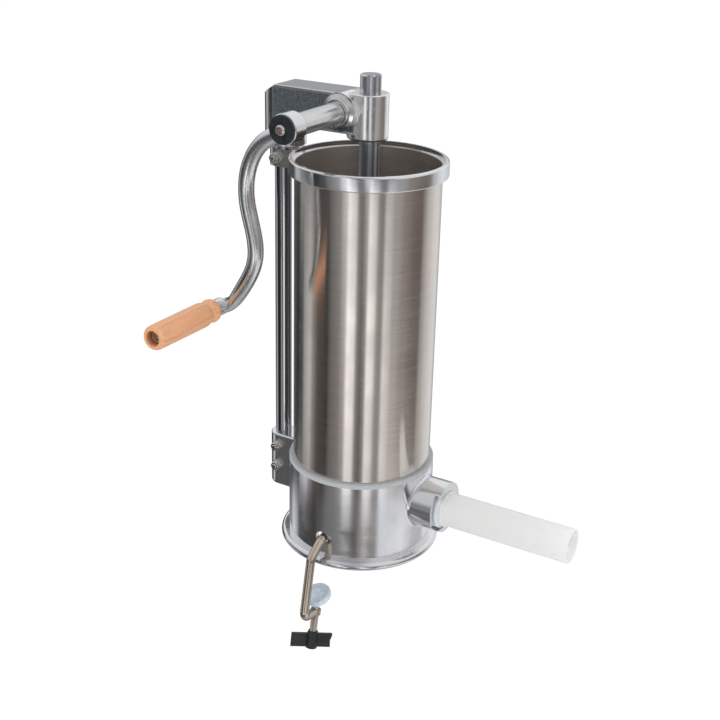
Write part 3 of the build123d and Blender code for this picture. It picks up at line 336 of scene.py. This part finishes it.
def polished_aluminium():
    """Castings turned and polished outside; the hollow under the base keeps its cast skin."""
    f = Finish("polished_aluminium")
    radius, _, height = f.around("Z", (0, 0, 0))
    under_bowl = f.math("LESS_THAN", height, BASE_HOLLOW_TOP_Z)
    hollow = f.math("MULTIPLY", f.math("LESS_THAN", radius, BASE_HOLLOW_R), under_bowl)
    grain = f.turned("Z", (0, 0, 0), 0.6 * MM, 0.6)
    smudge = f.smudges(26 * MM)
    skin = f.cast_skin(1.4 * MM)
    tint = f.math("SUBTRACT", f.fit(grain, 0.3, 0.7, 0.94, 1.0), f.math("MULTIPLY", smudge, 0.03))
    bright = f.blend(1.0, (0.86, 0.86, 0.875), f.join(tint, tint, tint), "MULTIPLY")
    base = f.blend(hollow, bright, f.ramp(skin, ((0.3, (0.30, 0.30, 0.31)), (0.9, (0.50, 0.50, 0.51)))))
    rough = f.math("ADD", f.fit(grain, 0.3, 0.7, 0.07, 0.13), f.math("MULTIPLY", smudge, 0.06))
    rough = f.lerp(hollow, rough, 0.52)
    x, _, _ = f.split(f.at)
    _, ny, _ = f.split(f.normal)
    on_lug = f.fit(x, LUG_FLAT_X, LUG_FLAT_X - 1 * MM)
    lug_flat = f.math("MULTIPLY", f.fit(f.math("ABSOLUTE", ny), 0.985, 0.999), on_lug)
    speck = f.noise(f.at, 1 / (0.9 * MM), 3.0, 0.7)
    speckled = f.ramp(speck, ((0.36, (0.36, 0.37, 0.375)), (0.66, (0.76, 0.77, 0.775))))
    base = f.blend(lug_flat, base, speckled)
    rough = f.lerp(lug_flat, rough, 0.36)
    normal = f.bump(grain, 2.5e-6, onto=f.rounded_edges(0.5 * MM))
    normal = f.bump(skin, 1.2e-4, hollow, onto=normal)
    normal = f.bump(speck, 3e-5, f.math("MULTIPLY", lug_flat, 0.6), onto=normal)
    normal = f.bump(f.scratches(6 * MM, (0.2, 0.7, 1.1)), -2e-6, 0.5, onto=normal)
    return f.surface(Base_Color=base, Metallic=1.0, Roughness=rough, Normal=normal)


def cast_aluminium():
    """The head: blasted skin on its flat sides, satin on top, polished ends, edges and bosses."""
    f = Finish("cast_aluminium")
    x, _, z = f.split(f.at)
    nx, ny, nz = f.split(f.normal)
    flat_side = f.fit(f.math("ABSOLUTE", ny), 0.985, 0.999)
    inside = f.math("MULTIPLY", f.rise(x, HEAD_FLAT_X[0], 0.5 * MM), f.rise(x, HEAD_FLAT_X[1], -0.5 * MM))
    rim = f.math("MULTIPLY", f.rise(z, HEAD_FLAT_Z[1], -0.4 * MM), f.rise(z, HEAD_FLAT_Z[0], 0.5 * MM))
    blasted = f.math("MULTIPLY", f.math("MULTIPLY", flat_side, inside), rim)
    on_top = f.math("MULTIPLY", f.fit(nz, 0.6, 0.9), f.rise(x, HEAD_SATIN_X, -2.0 * MM))
    skin = f.cast_skin(1.1 * MM)
    speck = f.noise(f.at, 1 / (0.9 * MM), 3.0, 0.7)
    brushed = f.drawn("X", 0.5 * MM, 14 * MM)
    dark = f.ramp(speck, ((0.36, (0.10, 0.12, 0.14)), (0.5, (0.16, 0.185, 0.21)),
                          (0.66, (0.34, 0.37, 0.40))))
    satin = f.ramp(brushed, ((0.3, (0.33, 0.34, 0.35)), (0.7, (0.43, 0.44, 0.45))))
    smudge = f.smudges(18 * MM)
    shine = f.fit(smudge, 0.0, 1.0, 0.97, 0.91)
    polished = f.join(shine, f.math("MULTIPLY", shine, 0.975), f.math("MULTIPLY", shine, 0.975))
    base = f.blend(on_top, f.blend(blasted, polished, dark), satin)
    rough = f.lerp(blasted, f.math("ADD", 0.13, f.math("MULTIPLY", smudge, 0.06)), 0.42)
    rough = f.lerp(on_top, rough, f.fit(brushed, 0.3, 0.7, 0.30, 0.42))
    normal = f.bump(skin, 6e-5, f.math("MULTIPLY", blasted, 0.8), onto=f.rounded_edges(0.8 * MM))
    normal = f.bump(brushed, 8e-6, on_top, onto=normal)
    normal = f.bump(f.noise(f.at, 1 / (9 * MM), 2.0), 1.6e-4, 0.5, onto=normal)
    return f.surface(Base_Color=base, Metallic=f.lerp(blasted, 1.0, 0.75), Roughness=rough, Normal=normal)


def satin_aluminium():
    """Tumbled crank arm with a fine orange peel; its eye is turned bright."""
    f = Finish("satin_aluminium")
    radius, _, _ = f.around("Y", PINION_AXIS)
    eye = f.rise(radius, ARM_EYE_R, -0.4 * MM)
    peel = f.noise(f.at, 1 / (1.6 * MM), 3.0, 0.6)
    streak = f.drawn("Z", 0.7 * MM, 12 * MM)
    smudge = f.smudges(15 * MM)
    base = f.blend(f.fit(peel, 0.3, 0.7), (0.75, 0.765, 0.78), (0.85, 0.86, 0.87))
    base = f.blend(eye, base, (0.80, 0.80, 0.795))
    rough = f.math("ADD", f.fit(peel, 0.3, 0.7, 0.17, 0.25), f.math("MULTIPLY", smudge, 0.05))
    rough = f.lerp(eye, rough, f.fit(streak, 0.3, 0.7, 0.12, 0.18))
    peeled = f.math("SUBTRACT", 0.8, f.math("MULTIPLY", eye, 0.7))
    normal = f.bump(peel, 1.4e-5, peeled, onto=f.rounded_edges(0.6 * MM))
    normal = f.bump(streak, 4e-6, 0.5, onto=normal)
    return f.surface(Base_Color=base, Metallic=1.0, Roughness=rough, Normal=normal)


# Painted reflection stripes for the column: grey levels by reflected bearing, 0..1 for -180..180 degrees.
CHROME_PAINTED_REFLECTIONS = (
    (0.0, 0.7), (0.12, 0.9), (0.2, 1.0), (0.28, 0.42), (0.33, 0.21), (0.44, 0.23), (0.48, 0.85),
    (0.56, 0.80), (0.60, 0.26), (0.66, 0.28), (0.69, 1.0), (0.74, 0.9), (0.78, 0.22), (0.86, 0.30),
    (0.92, 0.8), (1.0, 0.7),
)


# Painted reflection stripes for the rack, laid out as for the column.
RACK_PAINTED_REFLECTIONS = (
    (0.0, 0.7), (0.12, 0.9), (0.2, 1.0), (0.28, 0.5), (0.33, 0.36), (0.44, 0.38), (0.48, 0.85),
    (0.56, 0.8), (0.60, 0.34), (0.66, 0.38), (0.69, 1.0), (0.74, 0.9), (0.78, 0.3), (0.86, 0.4),
    (0.92, 0.8), (1.0, 0.7),
)


# rack_steel and chrome_steel carry a painted dark rim and painted reflection stripes.
def rack_steel():
    return metal("rack_steel", (0.78, 0.80, 0.83), 0.14, lambda f: f.drawn("Z", 0.5 * MM, 30 * MM),
                 line_bump=8e-7, wear=0.02, painted_dark_rim=0.4, painted_reflection_levels=RACK_PAINTED_REFLECTIONS, metallic=0.72)


def chrome_steel():
    return metal("chrome_steel", (0.72, 0.735, 0.75), 0.03, lambda f: f.drawn("Z", 0.5 * MM, 30 * MM),
                 line_bump=3e-7, wear=0.015, painted_dark_rim=0.5, painted_reflection_levels=CHROME_PAINTED_REFLECTIONS)


# turned_steel, nickel_steel and plated_steel carry a painted dark rim where they turn edge on.
def turned_steel():
    return metal("turned_steel", (0.78, 0.78, 0.775), 0.16,
                 lambda f: f.turned("Y", PINION_AXIS, 0.4 * MM, 0.7),
                 line_bump=3e-6, edge=0.5 * MM, painted_dark_rim=0.3)


def nickel_steel():
    return metal("nickel_steel", (0.68, 0.585, 0.49), 0.11,
                 lambda f: f.noise(f.at, 1 / (0.8 * MM), 3.0, 0.6),
                 line_bump=5e-6, line_tint=0.12, wear=0.06, painted_dark_rim=1.0)


def plated_steel():
    return metal("plated_steel", (0.90, 0.85, 0.78), 0.12,
                 lambda f: f.noise(f.at, 1 / (0.6 * MM), 3.0, 0.6),
                 line_bump=5e-6, line_tint=0.1, wear=0.05, edge=0.2 * MM, painted_dark_rim=0.45)


def screw_steel():
    return metal("screw_steel", (0.90, 0.79, 0.75), 0.16,
                 lambda f: f.noise(f.at, 1 / (0.5 * MM), 3.0, 0.6),
                 line_bump=6e-6, line_tint=0.15, wear=0.08, edge=0.2 * MM)


def bronze():
    return metal("bronze", (0.66, 0.45, 0.23), 0.26, lambda f: f.turned("Y", PINION_AXIS, 0.4 * MM, 0.7))


def soft_rubber(name, colour, dark, roughness):
    """Moulded silicone: matte, with a faint bloom and dust."""
    f = Finish(name)
    cloud = f.noise(f.at, 1 / (9 * MM), 4.0, 0.6)
    grain = f.noise(f.at, 1 / (0.5 * MM), 2.0)
    base = f.blend(f.fit(cloud, 0.3, 0.7), dark, colour)
    rough = f.fit(grain, 0.3, 0.7, roughness - 0.06, roughness + 0.06)
    return f.surface(Base_Color=base, Roughness=rough, Specular_IOR_Level=0.4, Subsurface_Weight=0.15,
                     Subsurface_Radius=(0.004, 0.004, 0.004), Normal=f.bump(grain, 1e-5, 0.5))


def piston_polymer():
    f = Finish("piston_polymer")
    lines = f.turned("Z", (0, 0, 0), 0.8 * MM, 1.0)
    base = f.ramp(lines, ((0.3, (0.80, 0.80, 0.78)), (0.7, (0.88, 0.88, 0.86))))
    rough = f.fit(lines, 0.3, 0.7, 0.38, 0.5)
    return f.surface(Base_Color=base, Roughness=rough, Normal=f.bump(lines, 2e-5, 0.5))


def milky_plastic():
    """Moulded polyethylene: cloudy, lets light through, faint flow lines along the tube, and a faint
    painted glow.
    """
    f = Finish("milky_plastic")
    x, _, _ = f.split(f.at)
    flow = f.drawn("X", 3 * MM, 40 * MM)
    cloud = f.noise(f.at, 1 / (14 * MM), 3.0, 0.5)
    flange = f.rise(x, NOZZLE_FLANGE_X, -0.5 * MM)
    base = f.blend(f.fit(cloud, 0.35, 0.65), (0.97, 0.97, 0.965), (0.99, 0.99, 0.985))
    base = f.blend(flange, base, (0.80, 0.85, 0.91))
    rough = f.fit(flow, 0.3, 0.7, 0.30, 0.42)
    normal = f.bump(flow, 6e-5, 0.35)
    # Painted glow: a faint emission of the base colour brightens the nozzle.
    return f.surface(Base_Color=base, Roughness=rough, IOR=1.5, Transmission_Weight=0.12,
                     Subsurface_Weight=0.6, Subsurface_Radius=(0.010, 0.010, 0.011), Subsurface_Scale=1.0,
                     Emission_Color=base, Emission_Strength=0.05, Normal=normal)


def pad_plastic():
    f = Finish("pad_plastic")
    cloud = f.noise(f.at, 1 / (4 * MM), 3.0, 0.5)
    base = f.blend(f.fit(cloud, 0.3, 0.7), (0.56, 0.66, 0.74), (0.66, 0.75, 0.82))
    rough = f.fit(cloud, 0.3, 0.7, 0.34, 0.46)
    return f.surface(Base_Color=base, Roughness=rough, Normal=f.bump(cloud, 5e-5, 0.3),
                     Subsurface_Weight=0.6, Subsurface_Radius=(0.003, 0.004, 0.005), Subsurface_Scale=1.0)


def black_plastic():
    f = Finish("black_plastic")
    grain = f.noise(f.at, 1 / (0.45 * MM), 3.0, 0.6)
    cloud = f.noise(f.at, 1 / (7 * MM), 3.0, 0.5)
    base = f.blend(f.fit(cloud, 0.35, 0.65), (0.011, 0.013, 0.014), (0.022, 0.026, 0.027))
    rough = f.fit(cloud, 0.3, 0.7, 0.30, 0.44)
    normal = f.bump(grain, 2.5e-5, 0.4, onto=f.rounded_edges(0.3 * MM))
    return f.surface(Base_Color=base, Roughness=rough, Normal=normal)


def beech():
    """Lacquered beech turned along Y: pale rays, short dark flecks, faint growth rings and painted shade
    in its grooves and corners.
    """
    f = Finish("beech")
    local = f.vector_math("SUBTRACT", f.at, tuple(GRIP_AXIS)).outputs[0]
    x, y, z = f.split(local)
    bend = f.noise(f.stretch(local, (60, 12, 60)), 1.0, 2.0)
    layer = f.math("ADD", f.math("MULTIPLY", x, 0.86), f.math("MULTIPLY", z, 0.5))
    ring_phase = f.math("ADD", f.math("MULTIPLY", layer, 1 / (3.4 * MM)), f.math("MULTIPLY", bend, 2.6))
    rings = f.math("FRACT", ring_phase)
    ring_tone = f.ramp(rings, ((0.0, (0.79, 0.385, 0.20)), (0.55, (0.87, 0.45, 0.24)),
                               (0.9, (0.70, 0.32, 0.155)), (1.0, (0.79, 0.385, 0.20))))
    fibre = f.noise(f.stretch(local, (1 / (0.55 * MM), 1 / (16 * MM), 1 / (0.55 * MM))), 1.0, 3.0, 0.6)
    tone = f.blend(f.fit(fibre, 0.35, 0.7, 0.0, 0.42), ring_tone, (0.91, 0.51, 0.30))
    fleck_noise = f.noise(f.stretch(local, (1 / (0.4 * MM), 1 / (3.5 * MM), 1 / (0.4 * MM))), 1.0, 1.0)
    fleck = f.fit(fleck_noise, 0.655, 0.70)
    tone = f.blend(f.math("MULTIPLY", fleck, 0.5), tone, (0.50, 0.24, 0.11))
    radius, _, _ = f.around("Y", GRIP_AXIS)
    end_grain = f.rise(radius, GRIP_BORE_R, -0.3 * MM)
    tone = f.blend(f.math("MULTIPLY", end_grain, 0.35), tone, (0.62, 0.30, 0.13))
    # Painted shade: the wood's colour darkens, warmer, in grooves and corners.
    shade = f.fit(f.painted_crevice_shade(7 * MM), 0.35, 0.95, 0.72, 1.0)
    warm_shade = f.join(shade, f.math("POWER", shade, 1.25), f.math("POWER", shade, 1.5))
    tone = f.blend(1.0, tone, warm_shade, "MULTIPLY")
    rough = f.fit(fibre, 0.3, 0.7, 0.36, 0.5)
    normal = f.bump(fibre, 4e-5, 0.35)
    normal = f.bump(fleck, -6e-5, 0.4, onto=normal)
    return f.surface(Base_Color=tone, Roughness=rough, Normal=normal, Specular_IOR_Level=0.4,
                     Coat_Weight=0.18, Coat_Roughness=0.25)


FINISHES = {
    "brushed_stainless": (brushed_stainless(), ["cylinder"]),
    "polished_aluminium": (polished_aluminium(), ["base_casting", "top_ring"]),
    "cast_aluminium": (cast_aluminium(), ["head_casting"]),
    "satin_aluminium": (satin_aluminium(), ["crank_arm"]),
    "chrome_steel": (chrome_steel(), ["column_rod"]),
    "rack_steel": (rack_steel(), ["rack_bar"]),
    "turned_steel": (turned_steel(), ["pinion_shaft", "shaft_bush", "pinion_gear"]),
    "nickel_steel": (nickel_steel(), ["clamp_rod", "clamp_nut", "clamp_screw"]),
    "plated_steel": (plated_steel(), [
        "base_lug_washers", "base_lug_bolts", "base_lug_nuts", "ring_washers", "ring_bolt", "ring_nut",
        "pinion_key", "piston_screw", "head_lock_screw",
    ]),
    "screw_steel": (screw_steel(), ["crank_screw", "grip_spindle"]),
    "bronze": (bronze(), ["back_bush"]),
    "grey_silicone": (soft_rubber("grey_silicone", (0.52, 0.545, 0.56), (0.45, 0.47, 0.485), 0.42),
                      ["base_gasket", "piston_seal"]),
    "piston_polymer": (piston_polymer(), ["piston_disc"]),
    "milky_plastic": (milky_plastic(), ["stuffing_nozzle"]),
    "pad_plastic": (pad_plastic(), ["clamp_pad"]),
    "black_plastic": (black_plastic(), ["crank_end_disc", "clamp_wing"]),
    "beech": (beech(), ["wooden_grip"]),
}

for finish, (material, nodes) in FINISHES.items():
    for name in nodes:
        NODES[name].data.materials.clear()
        NODES[name].data.materials.append(material)


# ---------------------------------------------------------------- clamp screw with its thread
THREAD_PITCH = 1.0 * MM
THREAD_DEPTH = 0.5 * MM
THREAD_SIDES = 40
THREAD_STEPS = 8
BALL_RINGS = 10


def threaded_screw():
    """The clamp screw's helical thread, turned-down neck and ball, measured off the CAD screw."""
    joint = next(j for j in frame["joints"] if j["name"] == "screw_turn")
    centre, axis = Vector(joint["pos_m"]), Vector(joint["axis"]).normalized()
    side = axis.orthogonal().normalized()
    across = axis.cross(side)
    measured = []
    for vertex in NODES["clamp_screw"].data.vertices:
        height = (vertex.co - centre).dot(axis)
        measured.append((height, (vertex.co - centre - axis * height).length))
    bottom = min(height for height, _ in measured)
    crest = max(radius for _, radius in measured)
    shoulder = max(height for height, radius in measured if radius > crest - 0.1 * MM)
    ball = max(height for height, _ in measured)
    neck = min(radius for height, radius in measured if abs(height - shoulder) < 0.1 * MM)
    rings = []
    count = round((shoulder - bottom) / THREAD_PITCH * THREAD_STEPS)
    for step in range(count + 1):
        height = bottom + (shoulder - bottom) * step / count
        radii = []
        for corner in range(THREAD_SIDES):
            phase = ((height - bottom) / THREAD_PITCH - corner / THREAD_SIDES) % 1.0
            radii.append(crest - THREAD_DEPTH * abs(2 * phase - 1))
        rings.append((height, radii))
    rings.append((shoulder + 0.01 * MM, [neck] * THREAD_SIDES))
    start = -math.acos(min(1.0, neck / ball))
    for step in range(BALL_RINGS):
        angle = start + (math.pi / 2 - start) * step / BALL_RINGS
        rings.append((ball * math.sin(angle), [ball * math.cos(angle)] * THREAD_SIDES))
    bm = bmesh.new()
    loops = []
    for height, radii in rings:
        loop = []
        for corner, radius in enumerate(radii):
            angle = 2 * math.pi * corner / THREAD_SIDES
            out = side * math.cos(angle) + across * math.sin(angle)
            loop.append(bm.verts.new(centre + axis * height + out * radius))
        loops.append(loop)
    for lower, upper in zip(loops, loops[1:]):
        for corner in range(THREAD_SIDES):
            after = (corner + 1) % THREAD_SIDES
            bm.faces.new((lower[corner], lower[after], upper[after], upper[corner]))
    bm.faces.new(reversed(loops[0]))
    tip = bm.verts.new(centre + axis * ball)
    for corner in range(THREAD_SIDES):
        bm.faces.new((loops[-1][corner], loops[-1][(corner + 1) % THREAD_SIDES], tip))
    for face in bm.faces:
        face.smooth = True
    mesh = bpy.data.meshes.new("clamp_screw_thread")
    bm.to_mesh(mesh)
    bm.free()
    mesh.materials.append(FINISHES["nickel_steel"][0])
    screw = bpy.data.objects.new("clamp_screw_thread", mesh)
    bpy.context.scene.collection.objects.link(screw)
    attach(screw, "screw")
    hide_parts("clamp_screw")


threaded_screw()


# ---------------------------------------------------------------- floor
FLOOR_GAP = 1.0 * MM
FLOOR_SIZE = 40.0


def pale_floor():
    """A pale, brightly lit floor just under the clamp, with a faint soft shadow."""
    mesh = bpy.data.meshes.new("floor")
    half = FLOOR_SIZE / 2
    z = rest_low.z - FLOOR_GAP
    corners = [(-half, -half, z), (half, -half, z), (half, half, z), (-half, half, z)]
    mesh.from_pydata(corners, [], [(0, 1, 2, 3)])
    floor = bpy.data.objects.new("floor", mesh)
    bpy.context.scene.collection.objects.link(floor)
    f = Finish("floor_paper")
    glow = f.node("ShaderNodeEmission", Color=(1, 1, 1, 1), Strength=1.04)
    paper = f.node("ShaderNodeBsdfDiffuse", Color=(0.95, 0.95, 0.95, 1))
    mixed = f.node("ShaderNodeMixShader", Fac=0.04)
    f.feed(mixed.inputs[1], glow.outputs[0])
    f.feed(mixed.inputs[2], paper.outputs[0])
    f.node("ShaderNodeOutputMaterial", Surface=mixed.outputs[0])
    mesh.materials.append(f.material)
    floor.visible_glossy = False


pale_floor()


# ---------------------------------------------------------------- studio
# Light panels and dark flags round the object, seen from above, in three tiers: (bearing from the
# camera's side in degrees, negative to the left, brightness, warmth).
LOW_TIER = (
    (-180, 0.20, 0.0), (-150, 0.26, 0.0), (-136, 0.78, 0.0), (-126, 0.50, 0.0), (-114, 0.07, 0.0),
    (-95, 0.05, 0.1), (-80, 0.05, 0.4), (-70, 0.10, 0.4), (-56, 0.18, 0.2), (-38, 0.19, 0.3),
    (-24, 0.12, 0.3), (-8, 0.12, 0.3), (0, 0.26, 0.6), (8, 0.34, 0.7), (16, 0.22, 0.6),
    (24, 0.28, 0.3), (34, 0.72, 0.0), (52, 0.80, 0.0), (72, 0.86, 0.0), (82, 0.80, 0.1),
    (98, 0.58, 0.2), (114, 0.52, 0.2), (130, 0.80, 0.0), (160, 0.66, 0.0), (180, 0.20, 0.0),
)
MIDDLE_TIER = (
    (-180, 0.14, 0.0), (-150, 0.08, 0.0), (-134, 0.02, 0.0), (-119, 0.03, 0.0), (-112, 0.46, 0.0),
    (-98, 0.74, 0.1), (-89, 0.34, 0.3), (-80, 0.13, 1.2), (-70, 0.07, 1.5), (-62, 0.01, 0.4),
    (-54, 0.16, 0.4), (-41, 0.24, 0.5), (-33, 0.46, 0.4), (-26, 1.75, 0.1), (-18, 1.70, 0.2),
    (-11, 0.34, 0.4), (-5, 0.11, 0.4), (0, 0.20, 0.3), (5, 1.60, 0.1), (12, 1.50, 0.2),
    (20, 0.44, 0.4), (25, 0.32, 0.2), (31, 1.10, 0.0), (37, 0.86, 0.1), (45, 0.44, 0.6),
    (62, 0.22, 1.3), (80, 0.11, 1.5), (95, 0.11, 1.3), (103, 0.44, 0.4), (120, 0.70, 0.1),
    (142, 0.84, 0.0), (180, 0.14, 0.0),
)
HIGH_TIER = (
    (-180, 0.14, 0.0), (-150, 0.08, 0.0), (-132, 0.08, 0.0), (-120, 0.56, 0.0), (-106, 0.20, 0.0),
    (-94, 0.05, -0.6), (-78, 0.02, -1.0), (-66, 0.09, -0.4), (-56, 0.22, 0.0), (-42, 0.36, 0.0),
    (-35, 0.84, 0.1), (-28, 0.95, 0.1), (-21, 0.30, 0.0), (-14, 0.06, -0.6), (-7, 0.22, -0.3),
    (-1, 0.70, 0.0), (5, 0.66, 0.0), (11, 0.20, 0.0), (24, 0.13, 0.1), (38, 0.30, 0.1),
    (52, 0.34, 0.1), (64, 0.25, 0.9), (90, 0.18, 1.2), (98, 0.24, 0.7), (108, 0.56, 0.1),
    (126, 0.82, 0.0), (160, 0.60, 0.0), (180, 0.14, 0.0),
)
TIER_EDGES = ((-0.495, -0.470), (-0.275, -0.255))
OVERHEAD_PANELS = (
    (0.0, (0.85, 0.86, 0.88)), (0.3, (0.62, 0.63, 0.65)), (0.48, (0.42, 0.42, 0.43)),
    (0.6, (0.75, 0.75, 0.76)), (1.0, (0.85, 0.86, 0.88)),
)
WARM = (1.06, 0.94, 0.86)
COOL = (0.985, 1.0, 1.02)


def studio():
    """Reflections and light come from panels round the object; the camera itself sees plain white."""
    world = bpy.data.worlds.new("studio")
    bpy.context.scene.world = world
    world.use_nodes = True
    t = Tree(world.node_tree)
    direction = t.node("ShaderNodeTexCoord").outputs["Generated"]
    spin = {"rotation_type": "Z_AXIS"}
    turned = t.node("ShaderNodeVectorRotate", spin, Vector=direction, Angle=-VIEW_AZIMUTH)
    x, y, z = t.split(turned.outputs[0])
    bearing = t.math("ARCTAN2", x, t.math("MULTIPLY", y, -1.0))
    around = t.fit(bearing, -math.pi, math.pi)
    tiers = []
    for tier in (LOW_TIER, MIDDLE_TIER, HIGH_TIER):
        stops = []
        for degrees, level, warmth in tier:
            tone = [level * (w * warmth + c * (1 - warmth)) for w, c in zip(WARM, COOL)]
            stops.append(((degrees + 180) / 360, tone))
        tiers.append(t.ramp(around, stops, "EASE"))
    panels = t.blend(t.fit(z, *TIER_EDGES[0], smooth=True), tiers[0], tiers[1])
    panels = t.blend(t.fit(z, *TIER_EDGES[1], smooth=True), panels, tiers[2])
    overhead = t.ramp(around, OVERHEAD_PANELS, "EASE")
    colour = t.blend(t.fit(z, -0.02, 0.35, smooth=True), panels, overhead)
    colour = t.blend(t.fit(z, -0.75, -0.95, smooth=True), colour, (0.45, 0.45, 0.45))
    lit = t.node("ShaderNodeBackground", Color=colour, Strength=1.0)
    plain = t.node("ShaderNodeBackground", Color=(1, 1, 1, 1), Strength=1.0)
    chosen = t.node("ShaderNodeMixShader", Fac=t.node("ShaderNodeLightPath").outputs["Is Camera Ray"])
    t.feed(chosen.inputs[1], lit.outputs[0])
    t.feed(chosen.inputs[2], plain.outputs[0])
    t.node("ShaderNodeOutputWorld", Surface=chosen.outputs[0])


def soft_box(name, location, target, size, power):
    light = bpy.data.lights.new(name, "AREA")
    light.size, light.energy = size, power
    lamp = bpy.data.objects.new(name, light)
    lamp.location = location
    lamp.rotation_euler = (Vector(target) - Vector(location)).to_track_quat("-Z", "Y").to_euler()
    lamp.visible_glossy = False
    bpy.context.scene.collection.objects.link(lamp)


studio()
soft_box("key_light", (-0.7, -1.1, 1.4), (0, 0, 0.25), 0.9, 9.0)
soft_box("fill_light", (1.4, -0.5, 0.9), (0, 0, 0.2), 1.2, 6.0)


# ---------------------------------------------------------------- camera
CAMERA_AT = (0.5133, -0.8948, 0.6129)
CAMERA_LENS = 61.6
CAMERA_PITCH = math.radians(22.86)
CAMERA_YAW = math.radians(-0.175)
CAMERA_ROLL = math.radians(1.465)


def photo_camera():
    """The camera stands in front of the crank side, turned towards the nozzle and looking down."""
    c, s = math.cos(VIEW_AZIMUTH), math.sin(VIEW_AZIMUTH)
    right, ahead, up = Vector((c, s, 0)), Vector((-s, c, 0)), Vector((0, 0, 1))
    forward = ahead * math.cos(CAMERA_PITCH) - up * math.sin(CAMERA_PITCH)
    top = ahead * math.sin(CAMERA_PITCH) + up * math.cos(CAMERA_PITCH)
    aim = forward * math.cos(CAMERA_YAW) + right * math.sin(CAMERA_YAW)
    side = right * math.cos(CAMERA_YAW) - forward * math.sin(CAMERA_YAW)
    rolled_side = side * math.cos(CAMERA_ROLL) + top * math.sin(CAMERA_ROLL)
    rolled_top = top * math.cos(CAMERA_ROLL) - side * math.sin(CAMERA_ROLL)
    data = bpy.data.cameras.new("camera")
    data.lens, data.sensor_width = CAMERA_LENS, 36.0
    data.clip_start, data.clip_end = 0.01, 100.0
    camera = bpy.data.objects.new("camera", data)
    bpy.context.scene.collection.objects.link(camera)
    rotation = Matrix((rolled_side, rolled_top, -aim)).transposed()
    camera.matrix_world = Matrix.Translation(CAMERA_AT) @ rotation.to_4x4()
    bpy.context.scene.camera = camera


photo_camera()
scene = bpy.context.scene
scene.view_settings.view_transform = "Standard"
scene.view_settings.look = "None"
scene.cycles.use_denoising = True
scene.cycles.max_bounces = 16
scene.cycles.glossy_bounces = 14
scene.cycles.transmission_bounces = 8
